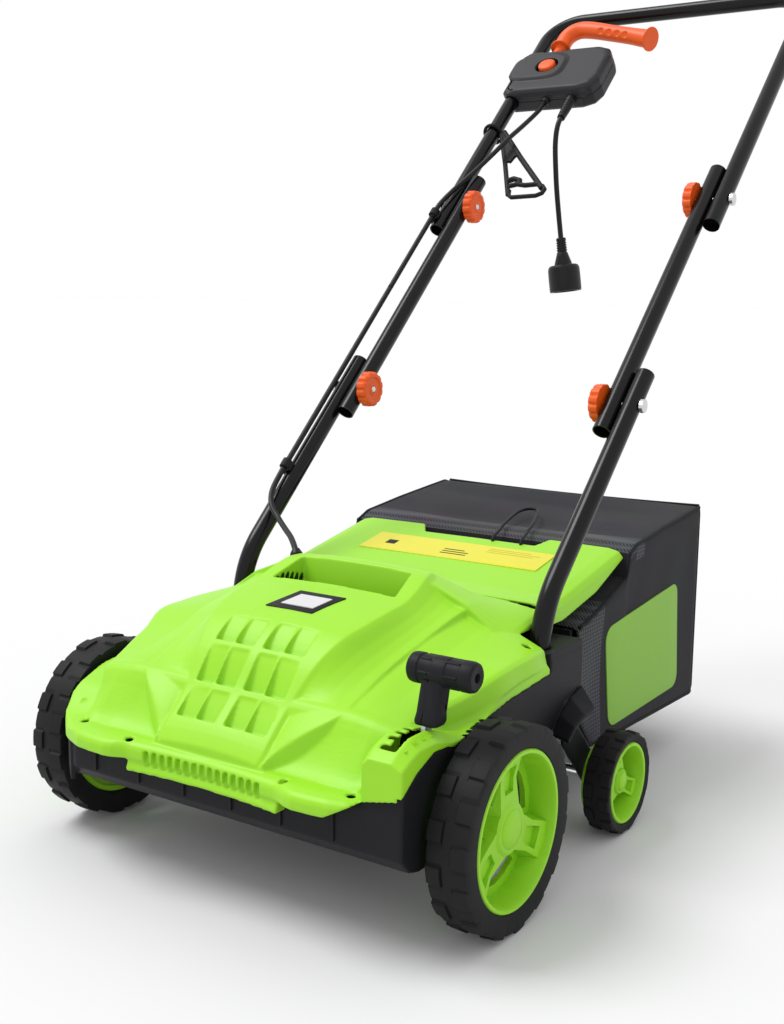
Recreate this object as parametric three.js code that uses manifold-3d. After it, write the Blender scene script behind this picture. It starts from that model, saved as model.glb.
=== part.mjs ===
// Corded lawn dethatcher with a folding handle, a tine rotor and a rear collection bag.
// Millimetres. X to the machine's left-hand side as seen from the front, Y to the rear, Z up.
// The design frame has its origin on the ground under the front wheels' axle. The whole machine
// is then shifted along Y so that the origin is under the middle of its length.

import * as THREE from 'three';
import { mergeVertices } from 'three/addons/utils/BufferGeometryUtils.js';
import Module from 'manifold-3d';

const wasm = await Module();
wasm.setup();

// ---------------------------------------------------------------- driving dimensions
const GAP = 0.3;                    // clearance between pieces that touch
const FRONT_R = 100;                // front wheel radius
const FRONT_RIM_R = 75;
const FRONT_IN = 231;               // inner and outer faces of the front wheels
const FRONT_OUT = 274;
const REAR_R = 57;                  // rear wheel radius
const REAR_RIM_R = 43.5;
const REAR_IN = 230;
const REAR_OUT = 261;
const REAR_Y = 275;                 // rear axle, measured back from the front axle
const AXLE_R = 6;
const CRANK_Y = -84;                // pivot of the cranked front axle
const CRANK_Z = 104;
const ROTOR_Y = 130;                // rotor axis and reach of its tines
const ROTOR_Z = 92;
const TINE_R = 66;
const MOTOR_Y = 34;
const MOTOR_Z = 186;
const MOTOR_R = 42;
const WALL_X = 223;                 // outer face of the chassis side walls
const HOOD_X = 224.5;               // outer face of the hood
const SKIN = 3;                     // wall of the plastic mouldings
const DECK_Z = 143.5;                // top of the plate that carries the motor
const DECK_X = 189;                 // half width of the rear deck and the flap
const HOOD_FRONT = -144;
const FLAP_Y = 204;                 // front edge of the flap
const FLAP_HINGE_Z = 255;
const FLAP_BACK = 396;
const BAG_X = 197;
const BAIL_Y = 401;                 // hinge of the bag's wire bail
const BAG_FRONT = 268;
const BAG_BACK = 622;
const TUBE_R = 11;                  // handle tubes
const TUBE_WALL = 1.5;
const OUTER_X = 201.4;              // lower and upper tubes
const INNER_X = 179;                // middle tubes, lapped inside them
const JOINT_Y = 374;                // lower handle bolts, origin of the handle frame
const JOINT_Z = 463;
const HANDLE_TILT = THREE.MathUtils.degToRad(44);
const UPPER_S = 351;                // distance up the handle to the upper bolts
const BAR_S = 785;                  // distance up the handle to the cross bar
const BEND_R = 50;
const KNOB_R = 22.7;
const CORD_R = 3.75;
const CABLE_R = 3.5;

// ---------------------------------------------------------------- finishes
const finish = (color, roughness, metalness = 0) =>
  new THREE.MeshStandardMaterial({ color, roughness, metalness });
const GREEN = finish(0xa6e63c, 0.42);
const BLACK = finish(0x222224, 0.55);
const BOX_GREY = finish(0x48484b, 0.5);
const ORANGE = finish(0xee5a1c, 0.45);
const TYRE = finish(0x262627, 0.8);
const TUBE_BLACK = finish(0x141416, 0.25, 0.3);
const STEEL = finish(0xb9bcc0, 0.3, 1);
const MOTOR_GREY = finish(0x6f7377, 0.5, 0.6);
const FABRIC = finish(0x2f2f35, 0.9);
const RUBBER = finish(0x19191a, 0.7);

const machine = new THREE.Group();
machine.position.y = -(HOOD_FRONT + JOINT_Y + BAR_S * Math.cos(HANDLE_TILT) + TUBE_R) / 2;

const handle = new THREE.Group();   // local X across, Y up along the tubes, Z off their front
handle.position.set(0, JOINT_Y, JOINT_Z);
handle.rotation.x = HANDLE_TILT;
machine.add(handle);

function part(group, name, geometry, material) {
  const mesh = new THREE.Mesh(geometry, material);
  mesh.name = name;
  group.add(mesh);
  return mesh;
}

// ---------------------------------------------------------------- solid helpers
function toSolid(geometry) {
  const bare = geometry.clone();
  bare.deleteAttribute('normal');
  bare.deleteAttribute('uv');
  const merged = mergeVertices(bare, 1e-4);
  const vertProperties = new Float32Array(merged.attributes.position.array);
  const triVerts = new Uint32Array(merged.index.array);
  return new wasm.Manifold(new wasm.Mesh({ numProp: 3, vertProperties, triVerts }));
}

function toGeometry(manifold) {
  const mesh = manifold.getMesh();
  const geometry = new THREE.BufferGeometry();
  geometry.setAttribute('position', new THREE.BufferAttribute(mesh.vertProperties, 3));
  geometry.setIndex(new THREE.BufferAttribute(mesh.triVerts, 1));
  return geometry;
}

function join(...pieces) {
  return toGeometry(pieces.map(toSolid).reduce((whole, next) => whole.add(next)));
}

function cut(base, ...tools) {
  return toGeometry(tools.map(toSolid).reduce((rest, tool) => rest.subtract(tool), toSolid(base)));
}

function common(a, b) {
  return toGeometry(toSolid(a).intersect(toSolid(b)));
}

// Turns a closed geometry so that its faces point outwards.
function facingOut(geometry) {
  const p = geometry.attributes.position;
  const index = geometry.index.array;
  const [a, b, c] = [new THREE.Vector3(), new THREE.Vector3(), new THREE.Vector3()];
  let volume = 0;
  for (let i = 0; i < index.length; i += 3) {
    a.fromBufferAttribute(p, index[i]);
    b.fromBufferAttribute(p, index[i + 1]);
    c.fromBufferAttribute(p, index[i + 2]);
    volume += a.dot(b.cross(c));
  }
  if (volume < 0) {
    for (let i = 0; i < index.length; i += 3) [index[i], index[i + 1]] = [index[i + 1], index[i]];
  }
  return geometry;
}

function box(x0, x1, y0, y1, z0, z1) {
  const geometry = new THREE.BoxGeometry(x1 - x0, y1 - y0, z1 - z0);
  return geometry.translate((x0 + x1) / 2, (y0 + y1) / 2, (z0 + z1) / 2);
}

// Cylinder between two points.
function rod(radius, from, to, sides = 12, endRadius = radius) {
  const start = new THREE.Vector3(...from);
  const along = new THREE.Vector3(...to).sub(start);
  const geometry = new THREE.CylinderGeometry(endRadius, radius, along.length(), sides);
  const turn = new THREE.Quaternion().setFromUnitVectors(
    new THREE.Vector3(0, 1, 0), along.clone().normalize());
  return geometry.applyQuaternion(turn).translate(...start.addScaledVector(along, 0.5).toArray());
}

function outlineShape(points) {
  return new THREE.Shape(points.map(([u, v]) => new THREE.Vector2(u, v)));
}

function prism(shape, depth) {
  return new THREE.ExtrudeGeometry(shape, { depth, bevelEnabled: false, curveSegments: 4 });
}

// Flat plate whose outline lies in the Y-Z plane, between two X positions.
function sidePlate(points, x0, x1) {
  const basis = new THREE.Matrix4().makeBasis(
    new THREE.Vector3(0, 1, 0), new THREE.Vector3(0, 0, 1), new THREE.Vector3(1, 0, 0));
  return prism(outlineShape(points), x1 - x0).applyMatrix4(basis).translate(x0, 0, 0);
}

// Plate whose outline lies in the X-Y plane, between two Z positions.
function flatPlate(shape, z0, z1) {
  return prism(shape, z1 - z0).translate(0, 0, z0);
}

// Body of revolution about an axis along X. The profile is [radius, x], closed or from axis to axis.
function turned(profile, y, z, sides) {
  const points = profile.map(([radius, x]) => new THREE.Vector2(radius, x));
  const geometry = new THREE.LatheGeometry(points, sides, Math.PI / sides);
  return facingOut(dropFlatFaces(geometry)).rotateZ(-Math.PI / 2).translate(0, y, z);
}

function dropFlatFaces(geometry) {
  geometry.deleteAttribute('normal');
  geometry.deleteAttribute('uv');
  const merged = mergeVertices(geometry, 1e-4);
  const kept = [];
  for (let i = 0; i < merged.index.count; i += 3) {
    const [a, b, c] = [0, 1, 2].map((k) => merged.index.getX(i + k));
    if (a !== b && b !== c && c !== a) kept.push(a, b, c);
  }
  merged.setIndex(kept);
  return merged;
}

// Solid through a row of sections along Y. Each section is { y, half: [[x, z], ...] }, listed from
// the centre line outwards and down, and is mirrored in X.
function loft(sections) {
  const rings = sections.map(({ y, half }) => {
    const right = half.map(([x, z]) => [x, y, z]);
    const left = half.filter(([x]) => x > 0).reverse().map(([x, z]) => [-x, y, z]);
    return [...right, ...left];
  });
  return loftRings(rings, rings[0].map((point) => new THREE.Vector2(point[0], point[2])));
}

function loftRings(rings, capOutline) {
  const count = rings[0].length;
  const index = [];
  for (let r = 0; r < rings.length - 1; r += 1) {
    for (let i = 0; i < count; i += 1) {
      const a = r * count + i;
      const b = r * count + ((i + 1) % count);
      index.push(a, b, b + count, a, b + count, a + count);
    }
  }
  const last = (rings.length - 1) * count;
  for (const [a, b, c] of THREE.ShapeUtils.triangulateShape(capOutline, [])) {
    const flip = THREE.ShapeUtils.area(capOutline) > 0 ? 1 : -1;
    if (flip > 0) index.push(a, c, b, last + a, last + b, last + c);
    else index.push(a, b, c, last + a, last + c, last + b);
  }
  const geometry = new THREE.BufferGeometry();
  geometry.setAttribute('position', new THREE.Float32BufferAttribute(rings.flat(2), 3));
  geometry.setIndex(index);
  return facingOut(geometry);
}

// A route of chosen stations, which an extruded tube steps through one by one.
class Route extends THREE.Curve {
  constructor(points) {
    super();
    this.points = points.map((point) => new THREE.Vector3(...point));
  }

  get steps() {
    return this.points.length - 1;
  }

  getPointAt(u) {
    const at = Math.min(u * this.steps, this.steps - 1e-9);
    const i = Math.floor(at);
    return this.points[i].clone().lerp(this.points[i + 1], at - i);
  }

  getTangentAt(u) {
    const i = Math.round(u * this.steps);
    const before = this.points[Math.max(i - 1, 0)];
    const after = this.points[Math.min(i + 1, this.steps)];
    return after.clone().sub(before).normalize();
  }

  getSpacedPoints(divisions) {
    return Array.from({ length: divisions + 1 }, (_, i) => this.getPointAt(i / divisions));
  }
}

// Replaces the corner at b by a round of the given radius, in steps.
function round(a, b, c, radius, steps) {
  const [from, corner, to] = [a, b, c].map((point) => new THREE.Vector3(...point));
  const back = from.clone().sub(corner).normalize();
  const on = to.clone().sub(corner).normalize();
  const half = back.angleTo(on) / 2;
  const tangent = radius / Math.tan(half);
  const middle = back.clone().add(on).normalize();
  const centre = corner.clone().addScaledVector(middle, radius / Math.sin(half));
  const start = corner.clone().addScaledVector(back, tangent).sub(centre);
  const end = corner.clone().addScaledVector(on, tangent).sub(centre);
  const axis = start.clone().cross(end).normalize();
  const sweep = start.angleTo(end);
  return Array.from({ length: steps + 1 }, (_, i) =>
    start.clone().applyAxisAngle(axis, (sweep * i) / steps).add(centre).toArray());
}

function tube(stations, radius, sides, wall = 0) {
  const ring = (r, count = sides) => Array.from({ length: count }, (_, i) => {
    const angle = (2 * Math.PI * i) / count;
    return new THREE.Vector2(r * Math.cos(angle), r * Math.sin(angle));
  });
  const shape = new THREE.Shape(ring(radius));
  if (wall > 0) shape.holes.push(new THREE.Path(ring(radius - wall, 8).reverse()));
  const route = new Route(stations);
  return new THREE.ExtrudeGeometry(shape, {
    steps: route.steps, extrudePath: route, bevelEnabled: false });
}

// ---------------------------------------------------------------- wheels
function wheelTyre(side, y, z, radius, rimRadius, inner, outer) {
  const sides = 36;
  const flat = radius / Math.cos(Math.PI / sides);      // the facets touch the ground, not the edges
  const [a, b] = side > 0 ? [inner, outer] : [-outer, -inner];
  return turned([[rimRadius, a + 4], [flat - 4, a], [flat, a + 3], [flat, b - 3], [flat - 4, b],
    [rimRadius, b - 4], [rimRadius, a + 4]], y, z, sides);
}

function wheelRim(side, y, z, rimRadius, inner, outer) {
  const hubR = rimRadius * 0.3;
  const [a, b] = side > 0 ? [inner + 5, outer - 5] : [-outer + 5, -inner - 5];
  const barrelOut = rimRadius - 0.6;
  const barrel = turned([[barrelOut - SKIN, a], [barrelOut, a], [barrelOut, b],
    [barrelOut - SKIN, b], [barrelOut - SKIN, a]], y, z, 36);
  const hubIn = side * (inner + 4);
  const hubOut = side * (outer - 6);
  const hub = rod(hubR, [hubIn, y, z], [hubOut, y, z], 20);
  const spokes = [0, 1, 2].map((k) => {
    const width = rimRadius * 0.26;
    const spoke = new THREE.BoxGeometry(12, width, barrelOut - 8);
    spoke.translate(0, 0, (barrelOut - 8) / 2 + 6.5);
    spoke.rotateX((2 * Math.PI * k) / 3 + 0.5);
    return spoke.translate(side * (outer - 20), y, z);
  });
  const bore = rod(AXLE_R + GAP, [hubIn - side, y, z], [side * (outer - 11), y, z], 16);
  return cut(join(barrel, hub, ...spokes), bore);
}

function addWheels() {
  for (const [end, side] of [['left', -1], ['right', 1]]) {
    part(machine, `front_tyre_${end}`,
      wheelTyre(side, 0, FRONT_R, FRONT_R, FRONT_RIM_R, FRONT_IN, FRONT_OUT), TYRE);
    part(machine, `front_rim_${end}`,
      wheelRim(side, 0, FRONT_R, FRONT_RIM_R, FRONT_IN, FRONT_OUT), GREEN);
    part(machine, `rear_tyre_${end}`,
      wheelTyre(side, REAR_Y, REAR_R, REAR_R, REAR_RIM_R, REAR_IN, REAR_OUT), TYRE);
    part(machine, `rear_rim_${end}`,
      wheelRim(side, REAR_Y, REAR_R, REAR_RIM_R, REAR_IN, REAR_OUT), GREEN);
  }
}

// ---------------------------------------------------------------- axles and depth lever
const LEVER_X = 207;                // plane of the lever's steel arm
const LEVER_TOP = [-47, 253];       // centre of the lever's grip, y and z

function leverPoint(distance) {     // point on the line from the crank pivot to the grip
  const dy = LEVER_TOP[0] - CRANK_Y;
  const dz = LEVER_TOP[1] - CRANK_Z;
  const length = Math.hypot(dy, dz);
  return [CRANK_Y + (dy * distance) / length, CRANK_Z + (dz * distance) / length];
}

function addAxles() {
  const stubEnd = FRONT_OUT - 12;
  const shaft = rod(AXLE_R, [-212, CRANK_Y, CRANK_Z], [212, CRANK_Y, CRANK_Z], 12);
  const arms = [-1, 1].map((side) => sidePlate([[CRANK_Y - 6.5, CRANK_Z - 7], [9, FRONT_R - 9],
    [9, FRONT_R + 9], [CRANK_Y - 6.5, CRANK_Z + 7]], side * 208.5 - 3.5, side * 208.5 + 3.5));
  const stubs = [-1, 1].map((side) =>
    rod(AXLE_R, [side * 208, 0, FRONT_R], [side * stubEnd, 0, FRONT_R], 12));
  const [footY, footZ] = [CRANK_Y, CRANK_Z];
  const [topY, topZ] = leverPoint(135);
  const strip = sidePlate([[footY - 6, footZ], [footY + 6, footZ], [topY + 6, topZ - 1],
    [topY - 6, topZ + 1]], LEVER_X - 2, LEVER_X + 2);
  part(machine, 'front_crank_axle', join(shaft, ...arms, ...stubs, strip), STEEL);
  part(machine, 'rear_axle', rod(AXLE_R, [-REAR_OUT + 12, REAR_Y, REAR_R],
    [REAR_OUT - 12, REAR_Y, REAR_R], 16), STEEL);
  part(machine, 'depth_lever', depthLever(), BLACK);
  for (const [end, x] of [['left', -150], ['right', 150]]) {
    const plate = box(x - 12, x + 12, CRANK_Y - 16, CRANK_Y + 16, CRANK_Z - 9, DECK_Z - 4 - GAP);
    const bore = rod(AXLE_R + GAP, [x - 13, CRANK_Y, CRANK_Z], [x + 13, CRANK_Y, CRANK_Z], 16);
    part(machine, `axle_clamp_${end}`, cut(plate, bore), BLACK);
  }
}

function depthLever() {
  const [baseY, baseZ] = leverPoint(108);
  const grip = rod(14.5, [183, ...LEVER_TOP], [251, ...LEVER_TOP], 20);
  const stem = sidePlate([[baseY - 10, baseZ + 2], [baseY + 9, baseZ - 3],
    [LEVER_TOP[0] + 10, LEVER_TOP[1]], [LEVER_TOP[0] - 10, LEVER_TOP[1]]], 198, 222);
  const [pocketY, pocketZ] = leverPoint(100);
  const [endY, endZ] = leverPoint(136);
  const pocket = sidePlate([[pocketY - 6.4, pocketZ + 1.6], [pocketY + 6.4, pocketZ - 1.6],
    [endY + 6.4, endZ - 1.6], [endY - 6.4, endZ + 1.6]], LEVER_X - 2.3, LEVER_X + 2.3);
  return cut(join(grip, stem), pocket);
}

// ---------------------------------------------------------------- chassis
// Line where the hood meets the chassis walls, seen from the side.
const PARTING = [[-40, 182], [0, 190], [61, 200], [150, 206]];
const PARTING_RIGHT = [[-126, 158], [-101, 175.7], [-74, 186.7], [-51, 185.7], ...PARTING];
const PARTING_LEFT = [[-130, 131], [-95, 134], [-60, 176], ...PARTING];

const RAIL_TOP = 226;               // top of the rails that hold the handle's lower tubes

function sideWall(side) {
  const line = (side > 0 ? PARTING_RIGHT : PARTING_LEFT).map(([y, z]) => [y, z - 0.5]);
  const top = line.filter(([y]) => y > -122);
  const start = side > 0 ? [-122, 160.5] : [-122, 130.5];
  const outline = [[-122, 100], [-108, 86], [-95, 82], [100, 82], [157, 139], [190, 167],
    [225, 175], [227, 200], [225, 216], [152, 218], ...top.slice().reverse(), start];
  return sidePlate(outline, side > 0 ? WALL_X - 4 : -WALL_X, side > 0 ? WALL_X : -WALL_X + 4);
}

// Slot in a side wall for the front wheel's stub, which swings up about the crank pivot.
function stubSlot(side) {
  const reach = Math.hypot(-CRANK_Y, FRONT_R - CRANK_Z);
  const rest = Math.atan2(FRONT_R - CRANK_Z, -CRANK_Y);
  const points = [];
  for (const [radius, order] of [[reach - 8, 1], [reach + 8, -1]]) {
    for (let i = 0; i <= 6; i += 1) {
      const part = order > 0 ? i / 6 : 1 - i / 6;
      const angle = rest - 0.12 + part * (THREE.MathUtils.degToRad(24) + 0.24);
      points.push([CRANK_Y + radius * Math.cos(angle), CRANK_Z + radius * Math.sin(angle)]);
    }
  }
  return sidePlate(points, side * 220 - 8, side * 220 + 8);
}

// Mudguard that stands out of the wall ahead of and over the rear wheel.
function fender(side) {
  const inner = [[157, 139], [172, 156], [196, 169], [225, 175]];
  const outer = [[146, 139], [160, 150], [182, 157], [206, 160]];
  const ring = (line, x) => [...line.map(([y, z]) => [side * x, y, z]),
    ...line.slice().reverse().map(([y, z]) => [side * x, y + 2, z - 4])];
  const cap = ring(inner, 0).map(([, y, z]) => new THREE.Vector2(y, z));
  return loftRings([ring(inner, WALL_X + 0.02), ring(outer, 248)], cap);
}

function arcPoints(cy, cz, radius, from, to, steps) {
  return Array.from({ length: steps + 1 }, (_, i) => {
    const angle = THREE.MathUtils.degToRad(from + ((to - from) * i) / steps);
    return [cy + radius * Math.cos(angle), cz + radius * Math.sin(angle)];
  });
}

const TUNNEL_R = 76;                // clearance round the tines
const CHEEK_X = 170;                // plates at the ends of the tunnel, which hold the bearings

function chassisShell() {
  const walls = [-1, 1].map(sideWall);
  const front = sidePlate([[-122, 100], [-108, 86], [-95, 82], [-95, 86], [-106, 90], [-118, 102],
    [-118, DECK_Z], [-122, DECK_Z]], -WALL_X + 1, WALL_X - 1);
  const deck = flatPlate(outlineShape([[-183, -119], [183, -119], [208, -99], [218, -82], [220.7, -74],
    [220.7, 74], [-220.7, 74], [-220.7, -74], [-218, -82], [-208, -99]]), DECK_Z - 4, DECK_Z);
  const corner = flatPlate(outlineShape([[-223, -94], [-189, -122], [-184, -118], [-219, -88]]),
    84, 130.5);
  const roofOuter = arcPoints(ROTOR_Y, ROTOR_Z, TUNNEL_R + 4, 190, 40, 9);
  const roofInner = arcPoints(ROTOR_Y, ROTOR_Z, TUNNEL_R, 40, 190, 9);
  const tunnel = sidePlate([...roofOuter, [228, 172], [228, 168], ...roofInner],
    -CHEEK_X - 4, CHEEK_X + 4);
  const cheek = (x) => sidePlate([[48, 70], [60, DECK_Z - 1], [90, 160], [178, 160], [226, 172],
    [226, 150], [206, 82], [170, 62], [90, 62]], x - 2, x + 2);
  const rails = [-1, 1].map((side) => {
    const [a, b] = side > 0 ? [186, WALL_X - 1] : [-WALL_X + 1, -186];
    return box(a, b, 150, 226, 198, RAIL_TOP);
  });
  const rearWall = box(-WALL_X + 1, WALL_X - 1, 222, 226, 168, 206);
  const brackets = [-1, 1].map((side) => sidePlate([[196, 180], [226, 180], [232, 130],
    [288, 72], [289, 50], [281, 43], [268, 43], [262, 50], [205, 110]], side * 212 - 3, side * 212 + 3));
  const webs = [-1, 1].map((side) => box(side > 0 ? 171 : -221, side > 0 ? 221 : -171,
    218, 223, 150, 206));
  const cornerCut = flatPlate(outlineShape([[-230, -84], [-230, -130], [-183, -130],
    [-183, -118]]), 60, 170);
  const outside = cut(join(...walls, front), cornerCut);
  return cut(join(outside, corner, deck, tunnel, cheek(-CHEEK_X - 2), cheek(CHEEK_X + 2), ...rails,
    rearWall, ...brackets, ...webs), ...chassisCuts());
}

function chassisCuts() {
  const bearingBores = [-1, 1].map((side) => rod(16 + GAP, [side * 165, ROTOR_Y, ROTOR_Z],
    [side * 180, ROTOR_Y, ROTOR_Z], 20));
  const axleBore = rod(AXLE_R + GAP, [-220, REAR_Y, REAR_R], [220, REAR_Y, REAR_R], 16);
  const leverSlot = box(LEVER_X - 5, LEVER_X + 5, -110, -56, 130, 156);
  const armSlots = [-1, 1].map((side) => box(side * 208.5 - 5.5, side * 208.5 + 5.5, -64, 20, 130, 156));
  const beltSlot = box(-189, -175, 6, 80, 130, 156);
  const sockets = [-1, 1].map((side) => tube(lowerTubeStations(side), TUBE_R + GAP, 12));
  return [...bearingBores, axleBore, leverSlot, beltSlot, ...armSlots, ...sockets,
    stubSlot(-1), stubSlot(1)];
}

// ---------------------------------------------------------------- hood
// Half sections of the hood's shoulders, from the front shelf to the rear corners.
const SHOULDER = [
  { y: -112, half: [[0, 150], [117, 150], [160, 151], [206, 150], [HOOD_X, 130], [HOOD_X, 100]] },
  { y: -88, half: [[0, 180], [117, 180], [160, 184], [206, 176], [HOOD_X, 152], [HOOD_X, 100]] },
  { y: -75, half: [[0, 201], [123, 201], [165, 199], [206, 192], [HOOD_X, 168], [HOOD_X, 100]] },
  { y: 0, half: [[0, 236], [130, 232], [186, 216], [208, 206], [HOOD_X, 186], [HOOD_X, 100]] },
  { y: 60, half: [[0, 256], [130, 252], [186, 226], [210, 216], [HOOD_X, 200], [HOOD_X, 100]] },
  { y: 147, half: [[0, 262], [130, 258], [184, 240], [206, 226], [216, 208], [216, 100]] },
];

// Crown over the motor: distance back, half width and height of its top.
const CROWN = [[-123, 44, 157], [-115, 66, 164], [-78, 68, 203], [-48, 78, 238], [-18, 86, 259],
  [20, 95, 271], [73, 100, 281], [92, 98, 289], [122, 92, 298], [134, 84, 299], [198, 78, 263]];

function crownSections(inset) {
  return CROWN.map(([y, width, top]) => ({
    y: y < -100 ? y + inset : y,
    half: [[0, top - inset], [width - 8 - inset, top - 1 - inset], [width - inset, top - 4 - inset],
      [width + 13 - inset, top - 18 - inset], [width + 14 - inset, 100]],
  }));
}

function shoulderSections(inset) {
  return SHOULDER.map(({ y, half }, i) => ({
    y: i === 0 ? y + inset : y + (i === SHOULDER.length - 1 ? -inset : 0),
    half: half.map(([x, z]) => [x > 0 ? x - inset : 0, z > 100 ? z - inset : 90]),
  }));
}

function shelfShape(inset) {
  const right = [[92, -135], [118, HOOD_FRONT], [157, -141], [190, -128], [214, -104], [HOOD_X, -84]];
  const moved = right.map(([x, y]) => [x - inset, y + inset]);
  const edge = HOOD_X - inset;
  return outlineShape([[0, -129 + inset], ...moved, [edge, -30], [-edge, -30],
    ...moved.slice().reverse().map(([x, y]) => [-x, y])]);
}

function stripShape(inset) {
  return outlineShape([[0, -129 + inset], [92 - inset, -135.5 + inset], [92 - inset, -118],
    [-92 + inset, -118], [-92 + inset, -135.5 + inset]]);
}

function leverHousing(inset) {
  const radius = 96 - inset;
  const arc = arcPoints(CRANK_Y, CRANK_Z - 2, radius, 52, 112, 8);
  return sidePlate([[-126 + inset, 120], [0, 120], [0, 186 - inset], ...arc,
    [-126 + inset, 186 - inset]], 181 + inset, HOOD_X - inset);
}

function hoodBody(inset) {
  const deckTop = 262 - inset;
  const deck = sidePlate([[90, deckTop], [FLAP_Y - 4 - inset, deckTop],
    [FLAP_Y - 4 - inset, inset > 0 ? 90 : 241], [90, inset > 0 ? 90 : 241]],
    -DECK_X + inset, DECK_X - inset);
  const shelf = flatPlate(shelfShape(inset), inset > 0 ? 90 : 131, 150 - inset);
  const strip = flatPlate(stripShape(inset), inset > 0 ? 90 : 119, 147 - inset);
  return join(loft(shoulderSections(inset)), loft(crownSections(inset)), shelf, strip,
    leverHousing(inset), deck);
}

// Space under the hood between the side walls, down to the plate that carries the motor.
function hoodUnderside() {
  return box(-181, 181, -30, 240, 60, 206);
}

function underLine(line, x0, x1) {
  return sidePlate([[-160, 60], [230, 60], [230, 206], ...line.slice().reverse(), [-160, line[0][1]]],
    x0, x1);
}

// Carrying recess: a trapezoid pocket behind the badge, with a lining of its own.
const RECESS_FLOOR = 238;
function recessSolid(grow, z0, z1) {
  return flatPlate(outlineShape([[-76 - grow, 77 - grow], [76 + grow, 77 - grow],
    [64 + grow, 118 + grow], [-64 - grow, 118 + grow]]), z0, z1);
}

function hoodCover() {
  const outer = hoodBody(0);
  const shell = cut(outer, hoodBody(SKIN), box(-230, 230, -106, 230, 60, 118.5));
  const lining = common(recessSolid(SKIN, RECESS_FLOOR - SKIN, 320), outer);
  const slot = box(LEVER_X - 6, LEVER_X + 6, -116, -42, 150, 230);
  const vent = box(-52, 52, 88, 112, 220, 245);
  const screwHoles = [-172, -97, 97, 172].map((x) =>
    rod(4.5, [x, x * x > 20000 ? -114 : -127, 140], [x, x * x > 20000 ? -114 : -127, 170], 10));
  return cut(join(shell, lining), recessSolid(0, RECESS_FLOOR, 330), slot, vent,
    box(-230, 230, -200, -30, 60, 118.9),
    hoodUnderside(), underLine(PARTING_RIGHT, 181, 240), underLine(PARTING_LEFT, -240, -181), ...screwHoles);
}

function addHood() {
  part(machine, 'chassis_shell', chassisShell(), BLACK);
  part(machine, 'rear_fender_left', fender(-1), BLACK);
  part(machine, 'rear_fender_right', fender(1), BLACK);
  part(machine, 'hood_cover', hoodCover(), GREEN);
  const slats = Array.from({ length: 8 }, (_, i) => box(-46 + i * 12, -38 + i * 12, 90.6, 109.4, 230, 236));
  part(machine, 'hood_grille', cut(box(-51.7, 51.7, 88.3, 111.7, 231, 235), ...slats), BLACK);
  const badge = outlineShape([[-30, -22], [22, -22], [34, 16], [-20, 16]]);
  const badgeGeometry = flatPlate(badge, 0, 2);
  badgeGeometry.rotateX(Math.atan2(278 - 267, 38)).translate(0, 27, 275.5);
  part(machine, 'badge_plate', badgeGeometry, BLACK);
}

// ---------------------------------------------------------------- motor, belt and rotor
const BELT_X = -181;
const MOTOR_PULLEY_R = 13;
const ROTOR_PULLEY_R = 26;

function addDrive() {
  const can = turned([[0, -150], [36, -150], [MOTOR_R, -140], [MOTOR_R, 30], [32, 44], [0, 44]],
    MOTOR_Y, MOTOR_Z, 24);
  const boreIn = rod(6, [-151, MOTOR_Y, MOTOR_Z], [-120, MOTOR_Y, MOTOR_Z], 16);
  const feet = box(-120, 10, MOTOR_Y - 30, MOTOR_Y + 30, DECK_Z + GAP, 158);
  part(machine, 'motor_body', cut(join(can, feet), boreIn), MOTOR_GREY);
  const shaft = rod(5, [-192, MOTOR_Y, MOTOR_Z], [-122, MOTOR_Y, MOTOR_Z], 16);
  const pulley = rod(MOTOR_PULLEY_R, [BELT_X - 6, MOTOR_Y, MOTOR_Z], [BELT_X + 6, MOTOR_Y, MOTOR_Z], 24);
  part(machine, 'motor_pulley', join(shaft, pulley), STEEL);
  part(machine, 'drive_belt', beltLoop(), RUBBER);
  part(machine, 'rotor_pulley', cut(
    rod(ROTOR_PULLEY_R, [BELT_X - 6, ROTOR_Y, ROTOR_Z], [BELT_X + 6, ROTOR_Y, ROTOR_Z], 28),
    rod(8 + GAP, [BELT_X - 7, ROTOR_Y, ROTOR_Z], [BELT_X + 7, ROTOR_Y, ROTOR_Z], 16)), STEEL);
  for (const [end, side] of [['left', -1], ['right', 1]]) {
    const [a, b] = side > 0 ? [170, 178] : [-178 + 4, -170 + 4];
    const ring = turned([[8 + GAP, a], [16, a], [16, b], [8 + GAP, b], [8 + GAP, a]],
      ROTOR_Y, ROTOR_Z, 20);
    part(machine, `rotor_bearing_${end}`, ring, STEEL);
  }
  addRotor();
}

// Belt round both pulleys: the straight runs touch both circles.
function beltLoop() {
  const dy = ROTOR_Y - MOTOR_Y;
  const dz = ROTOR_Z - MOTOR_Z;
  const span = Math.hypot(dy, dz);
  const heading = Math.atan2(dz, dy);
  const loop = (grow) => {
    const lean = Math.acos((ROTOR_PULLEY_R - MOTOR_PULLEY_R) / span);
    const arc = (cy, cz, radius, from, to) => Array.from({ length: 13 }, (_, i) => {
      const angle = from + ((to - from) * i) / 12;
      return [cy + (radius + grow) * Math.cos(angle), cz + (radius + grow) * Math.sin(angle)];
    });
    const open = Math.PI - lean;
    return [...arc(ROTOR_Y, ROTOR_Z, ROTOR_PULLEY_R, heading - open, heading + open),
      ...arc(MOTOR_Y, MOTOR_Z, MOTOR_PULLEY_R, heading + open, heading + 2 * Math.PI - open)];
  };
  return cut(sidePlate(loop(4.2), BELT_X - 4, BELT_X + 4), sidePlate(loop(0.9), BELT_X - 5, BELT_X + 5));
}

const TINE_RODS = 4;
const ROD_RADIUS_AT = 25;           // distance of the tine rods from the rotor's axis
const DISC_X = [-150, -60, 60, 150];

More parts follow.
